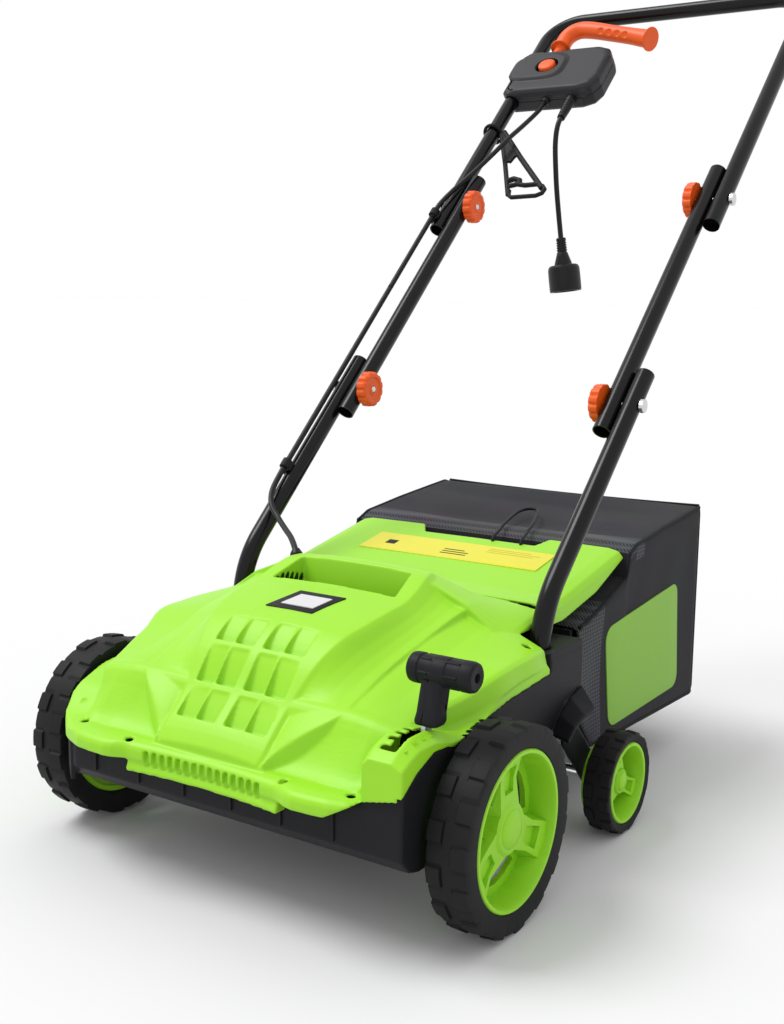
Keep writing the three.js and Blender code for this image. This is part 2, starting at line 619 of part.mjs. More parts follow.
function rodPlace(k) {
  const angle = (2 * Math.PI * k) / TINE_RODS + Math.PI / 4;
  return [ROTOR_Y + ROD_RADIUS_AT * Math.cos(angle), ROTOR_Z + ROD_RADIUS_AT * Math.sin(angle), angle];
}

function addRotor() {
  const core = rod(8, [-188, ROTOR_Y, ROTOR_Z], [182, ROTOR_Y, ROTOR_Z], 16);
  const discs = DISC_X.map((x) => rod(34, [x - 3, ROTOR_Y, ROTOR_Z], [x + 3, ROTOR_Y, ROTOR_Z], 16));
  const holes = Array.from({ length: TINE_RODS }, (_, k) => {
    const [y, z] = rodPlace(k);
    return rod(3 + GAP, [-160, y, z], [160, y, z], 6);
  });
  part(machine, 'rotor_drum', cut(join(core, ...discs), ...holes), BLACK);
  for (let k = 0; k < TINE_RODS; k += 1) {
    part(machine, `tine_rod_${k + 1}`, tineRod(k), STEEL);
  }
}

function tineRod(k) {
  const [y, z, angle] = rodPlace(k);
  const pieces = [rod(2.8, [-156, y, z], [156, y, z], 6)];
  const first = k % 2 === 0 ? -105 : -126;
  for (let x = first; x < 130; x += k % 2 === 0 ? 105 : 84) {
    pieces.push(rod(6.5, [x - 9, y, z], [x + 9, y, z], 8));
    for (const side of [-1, 1]) {
      const tip = [x + side * 12, ROTOR_Y + TINE_R * Math.cos(angle + 0.15 * side),
        ROTOR_Z + TINE_R * Math.sin(angle + 0.15 * side)];
      pieces.push(rod(1.6, [x + side * 7, y, z], tip, 5, 1.3));
    }
  }
  return join(...pieces);
}

// ---------------------------------------------------------------- lower handle tubes
function handlePoint(x, s, n) {     // a point of the handle frame, in the machine's frame
  const [c, d] = [Math.cos(HANDLE_TILT), Math.sin(HANDLE_TILT)];
  return [x, JOINT_Y + s * c - n * d, JOINT_Z + s * d + n * c];
}

function lowerTubeStations(side) {
  const x = side * OUTER_X;
  const foot = [x, 163, 204];
  const corner = [x, 169.7, 265.7];
  const top = handlePoint(x, 48, 0);
  return [foot, ...round(foot, corner, top, 111, 6), top];
}

function boltHole(x0, x1, s) {
  return rod(3 + GAP, [x0, s, 0], [x1, s, 0], 10);
}

function addHandle() {
  for (const [end, side] of [['left', -1], ['right', 1]]) {
    const toHandle = new THREE.Matrix4().makeRotationX(-HANDLE_TILT);
    toHandle.multiply(new THREE.Matrix4().makeTranslation(0, -JOINT_Y, -JOINT_Z));
    const lower = tube(lowerTubeStations(side), TUBE_R, 12, TUBE_WALL).applyMatrix4(toHandle);
    part(handle, `lower_tube_${end}`, cut(lower, boltHole(side * 187, side * 216, 0)), TUBE_BLACK);
    const middle = tube([[side * INNER_X, -42, 0], [side * INNER_X, 407, 0]], TUBE_R, 12, TUBE_WALL);
    part(handle, `middle_tube_${end}`, cut(middle, boltHole(side * 165, side * 193, 0),
      boltHole(side * 165, side * 193, UPPER_S)), TUBE_BLACK);
    for (const [level, s] of [['lower', 0], ['upper', UPPER_S]]) {
      part(handle, `${level}_bolt_${end}`, handleBolt(side, s), STEEL);
      part(handle, `${level}_knob_${end}`, handleKnob(side, s), ORANGE);
    }
  }
  part(handle, 'upper_handle', upperHandle(), TUBE_BLACK);
}

function upperHandle() {
  const corner = (side) => [side * OUTER_X, BAR_S, 0];
  const end = (side) => [side * OUTER_X, 303, 0];
  const bar = tube([end(-1), ...round(end(-1), corner(-1), corner(1), BEND_R, 6),
    ...round(corner(-1), corner(1), end(1), BEND_R, 6), end(1)], TUBE_R, 12, TUBE_WALL);
  return cut(bar, ...[-1, 1].map((side) => boltHole(side * 187, side * 216, UPPER_S)));
}

function handleBolt(side, s) {
  const shank = rod(3, [side * 157, s, 0], [side * 214, s, 0], 10);
  const head = rod(8, [side * (OUTER_X + TUBE_R + GAP), s, 0], [side * 217, s, 0], 12);
  return join(shank, head);
}

// Star knob on the inner end of the bolt.
function handleKnob(side, s) {
  const lobes = 12;
  const outline = Array.from({ length: lobes * 3 }, (_, i) => {
    const radius = KNOB_R - (i % 3 === 0 ? 2.4 : 0);
    const angle = (2 * Math.PI * i) / (lobes * 3);
    return [s + radius * Math.cos(angle), radius * Math.sin(angle)];
  });
  const [a, b] = side > 0 ? [155.5, 167.6] : [-167.6, -155.5];
  return cut(sidePlate(outline, a, b), rod(3 + GAP, [side * 150, s, 0], [side * 172, s, 0], 10));
}

// ---------------------------------------------------------------- switch box and its controls
const BOX = { left: -216, right: -59, low: 589, high: 691, half: 21 };
const BUTTON = [-157, 646];
const LEVER_PIVOT = [-160, 675];
const LEVER_N = 10;                 // plane of the switch lever, off the tubes' plane

function roundedBox(grow) {
  const r = 18;
  const [x0, x1] = [BOX.left - grow, BOX.right + grow];
  const [y0, y1] = [BOX.low - grow, BOX.high + grow];
  const shape = new THREE.Shape();
  shape.moveTo(x0 + r, y0);
  shape.lineTo(x1 - r, y0);
  shape.absarc(x1 - r, y0 + r, r, -Math.PI / 2, 0);
  shape.absarc(x1 - r, y1 - r, r, 0, Math.PI / 2);
  shape.absarc(x0 + r, y1 - r, r, Math.PI / 2, Math.PI);
  shape.absarc(x0 + r, y0 + r, r, Math.PI, Math.PI * 1.5);
  return shape;
}

function addSwitchBox() {
  const channel = rod(TUBE_R + GAP, [-OUTER_X, BOX.low - 9, 0], [-OUTER_X, BOX.high + 9, 0], 20);
  const leverGate = box(-180, -140, 688 - 6, BOX.high + 9, 0, 18.5);
  const buttonHole = rod(13.4, [...BUTTON, 10], [...BUTTON, 30], 20);
  const upper = cut(flatPlate(roundedBox(0), 0.15, BOX.half),
    flatPlate(roundedBox(-SKIN), -1, BOX.half - SKIN), leverGate, buttonHole);
  const rib = box(BOX.left, -187, 602, 678, 0.15, BOX.half - 1);
  part(handle, 'switch_box_cover', cut(join(upper, common(rib, flatPlate(roundedBox(-1), 0.15, 30))),
    channel), BOX_GREY);
  const lower = cut(flatPlate(roundedBox(0), -BOX.half, -0.15),
    flatPlate(roundedBox(-SKIN), -BOX.half + SKIN, 1));
  const lowerRib = box(BOX.left, -187, 602, 678, -BOX.half + 1, -0.15);
  part(handle, 'switch_box_base', cut(join(lower, common(lowerRib, flatPlate(roundedBox(-1), -30, -0.15))),
    channel), BOX_GREY);
  part(handle, 'start_button', rod(13, [...BUTTON, 12], [...BUTTON, 25], 20), ORANGE);
  part(handle, 'switch_lever', switchLever(), ORANGE);
}

function switchLever() {
  const n = LEVER_N;
  const neck = rod(8, [LEVER_PIVOT[0], LEVER_PIVOT[1], n], [-158, 700, n], 12);
  const grip = tube([[-158, 697, n], [-158, 708, n + 1], [-157, 722, n + 3], [-150, 735, n + 4],
    [-136, 740, n + 4], [-106, 733, n + 4], [-40, 709, n + 4], [-8, 697, n + 4]], 12.5, 12);
  const flange = rod(17, [-11, 698, n + 4], [-6, 696.2, n + 4], 16);
  const collar = rod(16, [-158, 698, n + 3], [-158, 701.5, n + 3], 16);
  const hub = rod(9, [...LEVER_PIVOT, n - 7], [...LEVER_PIVOT, n + 7], 14);
  return join(neck, grip, collar, flange, hub);
}

// ---------------------------------------------------------------- cords, clips and hook
const SUPPLY_X = -100;              // where the supply cord leaves the switch box
const RELIEF_LENGTH = 46;
const CABLE_EXIT = [-142, BOX.low - GAP, 0];
const CABLE_X = -207;               // run of the motor cable along the left tubes
const CABLE_N = 17;
const CABLE_IN = [-99, 141, 291];    // where it enters the hood

// Supply cord: straight out of its relief, over a bend, and down to its plug.
const SUPPLY_ROUTE = [[0, 0, 0], [0, -6.2, -6.6], [-0.5, -10.4, -17], [-1, -12.2, -30], [-1, -12.5, -46],
  [0.5, -12.2, -72], [3, -11.8, -102], [7, -11.4, -135], [12, -11, -172]];

const MOTOR_ROUTE_UPPER = [CABLE_EXIT, [-143, 562, 2], [-149, 522, 8], [-156, 485, 14], [-166, 440, 18],
  [-180, 400, 19], [-196, 364, 19], [-205, 340, 18], [CABLE_X, 326, CABLE_N], [CABLE_X, 312, CABLE_N]];

function smooth(points, steps) {
  const curve = new THREE.CatmullRomCurve3(points.map((point) => new THREE.Vector3(...point)));
  return curve.getSpacedPoints(steps).map((point) => point.toArray());
}

function lowerCableRoute() {
  const onHandle = [[CABLE_X, 311.6, CABLE_N], [CABLE_X, 190, CABLE_N], [CABLE_X, 60, CABLE_N], [CABLE_X, -60, CABLE_N],
    [CABLE_X, -134, CABLE_N], [CABLE_X, -158, CABLE_N], [-202, -190, CABLE_N + 2],
    [-190, -212, CABLE_N + 2]].map((point) => handlePoint(...point));
  return [...onHandle, [-172, 199, 317], [-150, 184, 309], [-128, 167, 304], [-110, 151, 298],
    [CABLE_IN[0], CABLE_IN[1], CABLE_IN[2]]];
}

const PLUG_LEAN = 0.13;             // lean of the hanging plug, radians

function addCords() {
  const exit = handlePoint(SUPPLY_X, BOX.low - RELIEF_LENGTH, 0);
  const relief = rod(6, [SUPPLY_X, BOX.low - RELIEF_LENGTH, 0], [SUPPLY_X, BOX.low - GAP, 0], 12, 8.5);
  part(handle, 'strain_relief', relief, BLACK);
  const along = handlePoint(0, -1, 0).map((value, i) => value - handlePoint(0, 0, 0)[i]);
  const start = exit.map((value, i) => value + along[i] * GAP * 1.2);
  const route = SUPPLY_ROUTE.map((step) => step.map((value, i) => start[i] + value));
  part(machine, 'supply_cord', tube(smooth(route, 24), CORD_R, 8), RUBBER);
  const end = route[route.length - 1];
  part(machine, 'cord_plug', plug(end[0], end[1], end[2] - GAP), RUBBER);
  part(handle, 'motor_cable_upper', tube(smooth(MOTOR_ROUTE_UPPER, 22), CABLE_R, 8), RUBBER);
  part(machine, 'motor_cable_lower', tube(smooth(lowerCableRoute(), 36), CABLE_R, 8), RUBBER);
  part(handle, 'cable_clip_upper', cableClip(320), BLACK);
  part(handle, 'cable_clip_lower', cableClip(-146), BLACK);
  part(handle, 'cord_hook', cordHook(), BLACK);
}

// Plug hanging straight down: ribbed neck above, round body below.
function plug(x, y, z) {
  const profile = [[0, 0], [6.5, 0], [7, -20], [13, -39], [20, -40], [23.5, -45], [23.5, -78], [0, -78]];
  const geometry = new THREE.LatheGeometry(profile.map(([r, h]) => new THREE.Vector2(r, h)), 20);
  return facingOut(dropFlatFaces(geometry)).rotateX(Math.PI / 2).rotateY(-PLUG_LEAN)
    .translate(x, y, z);
}

// Open clip on the outer side of a tube, with an eye for the cable.
function cableClip(s) {
  const arc = (radius, from, to) => arcPoints(0, 0, radius, from, to, 10)
    .map(([u, v]) => [-OUTER_X + u, v]);
  const grip = outlineShape([...arc(14.5, 80, 265), ...arc(TUBE_R + GAP, 265, 80)]);
  const eye = outlineShape(arcPoints(CABLE_X, CABLE_N, 6.5, 0, 330, 11));
  const toTube = new THREE.Matrix4().makeRotationX(Math.PI / 2);
  const solid = (shape) => prism(shape, 12).applyMatrix4(toTube).translate(0, s + 6, 0);
  const cableBore = rod(CABLE_R + 0.7, [CABLE_X, s - 8, CABLE_N], [CABLE_X, s + 8, CABLE_N], 12);
  const tubeBore = rod(TUBE_R + GAP, [-OUTER_X, s - 8, 0], [-OUTER_X, s + 8, 0], 28);
  return cut(join(solid(grip), solid(eye)), cableBore, tubeBore);
}

// Wire-like plastic frame that takes a loop of the supply cord.
function cordHook() {
  const collar = cut(rod(16, [-OUTER_X, 508, 0], [-OUTER_X, 522, 0], 20),
    rod(TUBE_R + GAP, [-OUTER_X, 506, 0], [-OUTER_X, 524, 0], 20));
  const bars = [[[-185.4, 509, 0], [-116, 374, 0]], [[-184.4, 515, 0], [-68, 386, 0]],
    [[-116, 374, 0], [-68, 386, 0]]];
  return join(collar, ...bars.map(([from, to]) => rod(4, from, to, 8)));
}

// ---------------------------------------------------------------- flap and bag
function flapTop(y) {
  return y < 250 ? 262 : 262 + (y - 250) * 0.205;
}

function rearFlap() {
  const ys = [FLAP_Y, 250, 324, FLAP_BACK];
  const outline = (drop, skirt) => [...ys.map((y) => [y, flapTop(y) - drop]),
    ...ys.slice().reverse().map((y) => [y, skirt(y)])];
  const skirtLine = (y) => flapTop(y) - 26 + Math.max(0, y - 324) * 0.2;
  const solid = sidePlate(outline(0, skirtLine), -DECK_X, DECK_X);
  const hollow = sidePlate(outline(SKIN, () => 200).map(([y, z]) =>
    [y === FLAP_Y ? y - 5 : y === FLAP_BACK ? y + 5 : y, z]), -DECK_X + SKIN, DECK_X - SKIN);
  const notch = flatPlate(outlineShape([[-86, FLAP_BACK + 4], [-73, 391 - 1], [73, 391 - 1],
    [86, FLAP_BACK + 4]]), 200, 320);
  const lugs = [-130, 130].map((x) => rod(7, [x - 12, 212, FLAP_HINGE_Z], [x + 12, 212, FLAP_HINGE_Z], 14));
  const bore = rod(3 + GAP, [-150, 212, FLAP_HINGE_Z], [150, 212, FLAP_HINGE_Z], 10);
  return cut(join(cut(solid, hollow, notch), ...lugs), bore);
}

function bagProfile(inset) {
  return [[BAG_FRONT, 124 + inset], [306, 74 + inset], [BAG_BACK - inset, 61 + inset],
    [BAG_BACK - inset, 312 - inset], [420, 296 - inset], [FLAP_BACK + 3, 290 - inset],
    [FLAP_BACK + 1, 262 - inset], [324, 238 - inset], [BAG_FRONT, 226 - inset]];
}

function addRear() {
  part(machine, 'rear_flap', rearFlap(), GREEN);
  part(machine, 'flap_hinge_pin', rod(3, [-148, 212, FLAP_HINGE_Z], [148, 212, FLAP_HINGE_Z], 10), STEEL);
  const cloth = sidePlate(bagProfile(0), -BAG_X, BAG_X);
  const inside = sidePlate(bagProfile(SKIN).map(([y, z]) => [y === BAG_FRONT ? y - 4 : y, z]),
    -BAG_X + SKIN, BAG_X - SKIN);
  part(machine, 'bag_fabric', cut(cloth, inside), FABRIC);
  const frame = cut(box(-190, 190, 259, 265, 130, 222), box(-180, 180, 255, 270, 140, 212));
  part(machine, 'bag_frame', frame, BLACK);
  const wire = 2.5;
  const bail = tube([[-30, BAIL_Y, 296], [-18, 412, 299.5], ...round([-18, 412, 299.5], [4, 506, 309],
    [38, 478, 308], 10, 4), [40, 450, 304.5], [30, 412, 299.5], [26, BAIL_Y, 296]], wire, 6);
  part(machine, 'bag_bail', bail, STEEL);
}

addWheels();
addAxles();
addHood();
addDrive();
addHandle();
addSwitchBox();
addCords();
addRear();

export default machine;
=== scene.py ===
"""Looks of the lawn dethatcher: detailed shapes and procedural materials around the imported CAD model."""
import math

import bpy
import bmesh
import numpy as np
from mathutils import Matrix, Vector


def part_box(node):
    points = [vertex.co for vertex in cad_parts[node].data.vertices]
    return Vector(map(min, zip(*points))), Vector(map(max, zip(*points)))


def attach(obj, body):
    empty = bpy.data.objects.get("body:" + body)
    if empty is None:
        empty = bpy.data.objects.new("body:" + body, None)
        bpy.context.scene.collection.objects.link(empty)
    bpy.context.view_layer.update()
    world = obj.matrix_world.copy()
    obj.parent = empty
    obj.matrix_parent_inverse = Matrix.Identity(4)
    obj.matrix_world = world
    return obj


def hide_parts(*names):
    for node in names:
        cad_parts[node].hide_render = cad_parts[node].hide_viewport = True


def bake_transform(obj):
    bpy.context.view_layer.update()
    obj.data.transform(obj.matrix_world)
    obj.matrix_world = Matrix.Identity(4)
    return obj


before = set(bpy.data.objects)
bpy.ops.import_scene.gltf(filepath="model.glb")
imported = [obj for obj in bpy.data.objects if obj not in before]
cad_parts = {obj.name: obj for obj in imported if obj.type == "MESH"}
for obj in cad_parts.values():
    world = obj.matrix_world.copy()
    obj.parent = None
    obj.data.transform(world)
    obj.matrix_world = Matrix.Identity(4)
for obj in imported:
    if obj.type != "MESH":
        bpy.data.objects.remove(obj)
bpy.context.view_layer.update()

# ------------------------------------------------------------------ frame of the shapes below
# Shapes are given in millimetres from the ground under the front wheels' axle; Y is measured back.
MM = 0.001
_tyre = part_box("front_tyre_right")
AXLE_Y = (_tyre[0].y + _tyre[1].y) / 2
TILT = math.radians(44)
HANDLE = (374.0, 463.0)             # lower bolts: origin of the handle's own frame
COS, SIN = math.cos(TILT), math.sin(TILT)


def metres(point):
    return Vector((point[0] * MM, point[1] * MM + AXLE_Y, point[2] * MM))


def on_handle(x, s, n):
    """A point given across, along and off the handle's plane."""
    return (x, HANDLE[0] + s * COS - n * SIN, HANDLE[1] + s * SIN + n * COS)


def handle_direction(x, s, n):
    return np.array(on_handle(x, s, n)) - np.array(on_handle(0, 0, 0))


# ------------------------------------------------------------------ camera
def add_camera():
    azimuth, elevation, roll = (math.radians(v) for v in (33.987, 9.563, 0.7))
    right = Vector((math.cos(azimuth), math.sin(azimuth), 0))
    back = Vector((math.sin(azimuth) * math.cos(elevation),
                   -math.cos(azimuth) * math.cos(elevation), math.sin(elevation)))
    up = back.cross(right)
    turned = right * math.cos(roll) + up * math.sin(roll)
    up = up * math.cos(roll) - right * math.sin(roll)
    data = bpy.data.cameras.new("camera")
    data.lens = 45.91
    data.sensor_width = 36
    camera = bpy.data.objects.new("camera", data)
    bpy.context.scene.collection.objects.link(camera)
    place = Matrix((turned, up, back)).transposed().to_4x4()
    place.translation = metres((805.739, -1007.274, 586.755))
    camera.matrix_world = place
    bpy.context.scene.camera = camera


# ------------------------------------------------------------------ materials
GLOSS_SPREAD = 0.08
GRAIN_DEPTH = 0.0004                # metres


def nodes_of(name):
    material = bpy.data.materials.new(name)
    material.use_nodes = True
    tree = material.node_tree
    return material, tree, tree.nodes["Principled BSDF"]


def add_node(tree, kind, **values):
    node = tree.nodes.new(kind)
    for key, value in values.items():
        if key.startswith("in_"):
            node.inputs[key[3:].replace("_", " ")].default_value = value
        else:
            setattr(node, key, value)
    return node


def surface(name, color, roughness, metallic=0.0, grain=900.0, bump=0.05, mottle=0.12,
            specular=0.5):
    """Moulded or painted surface: fine grain in the relief, slow drift in colour and gloss."""
    material, tree, shader = nodes_of(name)
    link = tree.links.new
    place = add_node(tree, "ShaderNodeTexCoord")
    fine = add_node(tree, "ShaderNodeTexNoise", in_Scale=grain, in_Detail=3.0)
    slow = add_node(tree, "ShaderNodeTexNoise", in_Scale=14.0, in_Detail=4.0)
    link(place.outputs["Object"], fine.inputs["Vector"])
    link(place.outputs["Object"], slow.inputs["Vector"])
    tone = add_node(tree, "ShaderNodeMix", data_type="RGBA")
    tone.inputs["A"].default_value = (*[c * (1 - mottle) for c in color], 1)
    tone.inputs["B"].default_value = (*[min(1, c * (1 + mottle)) for c in color], 1)
    link(slow.outputs["Fac"], tone.inputs["Factor"])
    link(tone.outputs["Result"], shader.inputs["Base Color"])
    gloss = add_node(tree, "ShaderNodeMapRange")
    gloss.inputs["To Min"].default_value = max(0.02, roughness - GLOSS_SPREAD)
    gloss.inputs["To Max"].default_value = min(1, roughness + GLOSS_SPREAD)
    link(slow.outputs["Fac"], gloss.inputs["Value"])
    link(gloss.outputs["Result"], shader.inputs["Roughness"])
    relief = add_node(tree, "ShaderNodeBump", in_Strength=bump, in_Distance=GRAIN_DEPTH)
    link(fine.outputs["Fac"], relief.inputs["Height"])
    link(relief.outputs["Normal"], shader.inputs["Normal"])
    shader.inputs["Metallic"].default_value = metallic
    shader.inputs["Specular IOR Level"].default_value = specular
    return material


def woven(name, color, pitch, contrast, depth=0.0006, open_mesh=False):
    """Plain weave from two crossed sets of threads, with a slow drift of tone."""
    material, tree, shader = nodes_of(name)
    link = tree.links.new
    place = add_node(tree, "ShaderNodeTexCoord")
    split = add_node(tree, "ShaderNodeSeparateXYZ")
    link(place.outputs["Object"], split.inputs["Vector"])
    across = add_node(tree, "ShaderNodeMath", operation="ADD")
    link(split.outputs["X"], across.inputs[0])
    link(split.outputs["Y"], across.inputs[1])
    heights = []
    for source in (across.outputs["Value"], split.outputs["Z"]):
        scaled = add_node(tree, "ShaderNodeMath", operation="MULTIPLY")
        scaled.inputs[1].default_value = 2 * math.pi / pitch
        link(source, scaled.inputs[0])
        wave = add_node(tree, "ShaderNodeMath", operation="SINE")
        link(scaled.outputs["Value"], wave.inputs[0])
        heights.append(wave)
    thread = add_node(tree, "ShaderNodeMath", operation="MAXIMUM" if open_mesh else "MULTIPLY")
    link(heights[0].outputs["Value"], thread.inputs[0])
    link(heights[1].outputs["Value"], thread.inputs[1])
    level = add_node(tree, "ShaderNodeMapRange")
    level.inputs["From Min"].default_value = -1
    link(thread.outputs["Value"], level.inputs["Value"])
    slow = add_node(tree, "ShaderNodeTexNoise", in_Scale=11.0, in_Detail=5.0)
    link(place.outputs["Object"], slow.inputs["Vector"])
    tone = add_node(tree, "ShaderNodeMix", data_type="RGBA")
    tone.inputs["A"].default_value = (*[c * (1 - contrast) for c in color], 1)
    tone.inputs["B"].default_value = (*[c * (1 + contrast) for c in color], 1)
    link(level.outputs["Result"], tone.inputs["Factor"])
    drift = add_node(tree, "ShaderNodeMix", data_type="RGBA", blend_type="MULTIPLY")
    drift.inputs["Factor"].default_value = 0.5
    link(tone.outputs["Result"], drift.inputs["A"])
    link(slow.outputs["Color"], drift.inputs["B"])
    link(drift.outputs["Result"], shader.inputs["Base Color"])
    relief = add_node(tree, "ShaderNodeBump", in_Strength=0.6, in_Distance=depth)
    link(level.outputs["Result"], relief.inputs["Height"])
    link(relief.outputs["Normal"], shader.inputs["Normal"])
    shader.inputs["Roughness"].default_value = 0.85
    shader.inputs["Specular IOR Level"].default_value = 0.15
    shader.inputs["Sheen Weight"].default_value = 0.06
    shader.inputs["Sheen Roughness"].default_value = 0.5
    return material


GREEN = surface("green moulding", (0.27, 0.60, 0.018), 0.42, grain=700, bump=0.04,
                mottle=0.03, specular=0.3)
BLACK = surface("black moulding", (0.010, 0.010, 0.012), 0.48, grain=1100, bump=0.2,
                mottle=0.2, specular=0.13)
GREY = surface("switch box moulding", (0.022, 0.022, 0.025), 0.46, grain=1300,
               bump=0.25, mottle=0.12, specular=0.2)
ORANGE = surface("orange moulding", (0.70, 0.085, 0.004), 0.42, mottle=0.05,
                 specular=0.3)
TYRE = surface("tyre", (0.012, 0.012, 0.013), 0.55, grain=1400, bump=0.25, mottle=0.25,
               specular=0.12)
TUBE = surface("painted tube", (0.003, 0.003, 0.0035), 0.2, grain=500, bump=0.03,
               mottle=0.2, specular=0.22)
STEEL = surface("zinc plated steel", (0.62, 0.62, 0.64), 0.32, 1.0, grain=1500, bump=0.08)
CHROME = surface("bright axle", (0.8, 0.8, 0.81), 0.12, 1.0, grain=400, bump=0.02)
CAST = surface("motor casing", (0.32, 0.33, 0.34), 0.5, 0.8, grain=600, bump=0.35)
RUBBER = surface("cable rubber", (0.006, 0.006, 0.007), 0.42, bump=0.1, specular=0.25)
CLOTH = woven("bag cloth", (0.022, 0.022, 0.027), 0.0016, 0.4)
NETTING = woven("bag netting", (0.05, 0.05, 0.055), 0.0046, 0.9, 0.001, open_mesh=True)
PIPING = woven("bag piping", (0.012, 0.012, 0.014), 0.0012, 0.3)
PANEL = surface("printed green panel", (0.20, 0.42, 0.035), 0.6, bump=0.3, mottle=0.06)
YELLOW, BRASS, PAPER = (surface(name, color, roughness, grain=400, bump=0.02, mottle=mottle)
                        for name, slot, color, roughness, mottle in (
    ("yellow label", "green_plastic", (0.62, 0.58, 0.006), 0.35, 0.03),
    ("label print", "green_plastic", (0.42, 0.36, 0.01), 0.4, 0.03),
    ("white print", "black_plastic", (0.55, 0.55, 0.56), 0.4, 0.02)))


# ------------------------------------------------------------------ mesh helpers
def raw(name, verts, faces):
    """Mesh object from millimetre points, with its faces turned outwards."""
    mesh = bpy.data.meshes.new(name)
    mesh.from_pydata([metres(v) for v in verts], [], faces)
    bm = bmesh.new()
    bm.from_mesh(mesh)
    bmesh.ops.remove_doubles(bm, verts=bm.verts, dist=1e-6)
    bmesh.ops.recalc_face_normals(bm, faces=bm.faces)
    bm.to_mesh(mesh)
    bm.free()
    piece = bpy.data.objects.new(name, mesh)
    bpy.context.scene.collection.objects.link(piece)
    return piece


def bake(piece):
    """Applies the piece's modifiers."""
    bpy.context.view_layer.update()
    graph = bpy.context.evaluated_depsgraph_get()
    mesh = bpy.data.meshes.new_from_object(piece.evaluated_get(graph))
    piece.modifiers.clear()
    piece.data = mesh
    return piece


def combine(piece, others, operation="UNION"):
    """Boolean of a piece with tools, which are used up."""
    for tool in others:
        step = piece.modifiers.new("boolean", "BOOLEAN")
        step.operation = operation
        step.solver = "MANIFOLD"
        step.object = tool
    bake(piece)
    for tool in others:
        bpy.data.objects.remove(tool)
    return piece


def soften(piece, voxel, rounds):
    """Remeshes finely and relaxes, which rounds every edge like a moulding's."""
    step = piece.modifiers.new("remesh", "REMESH")
    step.mode = "VOXEL"
    step.voxel_size = voxel * MM
    relax = piece.modifiers.new("relax", "SMOOTH")
    relax.iterations = rounds
    relax.factor = 0.5
    return bake(piece)


def bevel(piece, width, segments=3, angle=30):
    step = piece.modifiers.new("bevel", "BEVEL")
    step.width = width * MM
    step.segments = segments
    step.limit_method = "ANGLE"
    step.angle_limit = math.radians(angle)
    return bake(piece)


def dress(piece, material, body, replaced=(), smooth=38):
    """Material, shading and body of a finished piece; hides the CAD parts it replaces."""
    mesh = piece.data
    if len(mesh.materials) < 2:
        mesh.materials.clear()
        mesh.materials.append(material)
    mesh.shade_smooth()
    if smooth:
        mesh.set_sharp_from_angle(angle=math.radians(smooth))
    if replaced:
        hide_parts(*replaced)
    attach(piece, body)
    return piece


def paint(node, material):
    """Gives a CAD node another material, and nothing else."""
    thing = bpy.data.objects[node]
    for place in thing.material_slots:
        place.material = material
    if not thing.material_slots:
        thing.data.materials.append(material)


def copy_of(node, name):
    """A new mesh with a CAD node's shape."""
    source = bpy.data.objects[node]
    piece = bpy.data.objects.new(name, source.data.copy())
    piece.data.materials.clear()
    bpy.context.scene.collection.objects.link(piece)
    return piece


def prism(name, outline, low, high, plane="yz"):
    """Closed prism: an outline in the y-z, x-y or x-z plane, between two positions on the third axis."""
    order = {"yz": lambda u, v, w: (w, u, v), "xy": lambda u, v, w: (u, v, w),
             "xz": lambda u, v, w: (u, w, v)}[plane]
    count = len(outline)
    verts = [order(u, v, w) for w in (low, high) for u, v in outline]
    faces = [tuple(range(count)), tuple(range(2 * count - 1, count - 1, -1))]
    faces += [(i, (i + 1) % count, count + (i + 1) % count, count + i) for i in range(count)]
    return raw(name, verts, faces)


def rectangle(x0, x1, y0, y1):
    return [(x0, y0), (x1, y0), (x1, y1), (x0, y1)]


def block(name, x, y, z):
    return prism(name, rectangle(*x, *y), *z, "xy")


def skin(name, rings):
    """Closed surface through rings of points, with a cap on the first and the last."""
    count = len(rings[0])
    verts = [tuple(p) for ring in rings for p in ring]
    faces = []
    for r in range(len(rings) - 1):
        for i in range(count):
            a, b = r * count + i, r * count + (i + 1) % count
            faces.append((a, b, b + count, a + count))
    faces.append(tuple(range(count)))
    faces.append(tuple(range(len(verts) - 1, len(verts) - count - 1, -1)))
    return raw(name, verts, faces)


def spline(points, steps):
    """Catmull-Rom curve through points, evenly spaced along its length."""
    p = np.array(points, float)
    p = np.vstack([2 * p[0] - p[1], p, 2 * p[-1] - p[-2]])
    dense = []
    for i in range(1, len(p) - 2):
        t = np.linspace(0, 1, 24, endpoint=False)[:, None]
        a, b, c, d = p[i - 1:i + 3]
        dense.append(0.5 * (2 * b + (c - a) * t + (2 * a - 5 * b + 4 * c - d) * t ** 2
                            + (3 * b - a - 3 * c + d) * t ** 3))
    dense = np.vstack([*dense, p[-2]])
    along = np.concatenate([[0], np.cumsum(np.linalg.norm(np.diff(dense, axis=0), axis=1))])
    wanted = np.linspace(0, along[-1], steps + 1)
    return np.column_stack([np.interp(wanted, along, dense[:, k]) for k in range(p.shape[1])])


def rounded(a, b, c, radius, steps=10):
    """Points of an arc that replaces the corner at b."""
    a, b, c = (np.array(v, float) for v in (a, b, c))
    back, on = (a - b) / np.linalg.norm(a - b), (c - b) / np.linalg.norm(c - b)
    half = math.acos(np.clip(back @ on, -1, 1)) / 2
    middle = (back + on) / np.linalg.norm(back + on)
    centre = b + middle * radius / math.sin(half)
    start = b + back * radius / math.tan(half) - centre
    end = b + on * radius / math.tan(half) - centre
    sweep = math.pi - 2 * half
    return [tuple(centre + (start * math.sin(sweep * (1 - t)) + end * math.sin(sweep * t))
                  / math.sin(sweep)) for t in np.linspace(0, 1, steps + 1)]


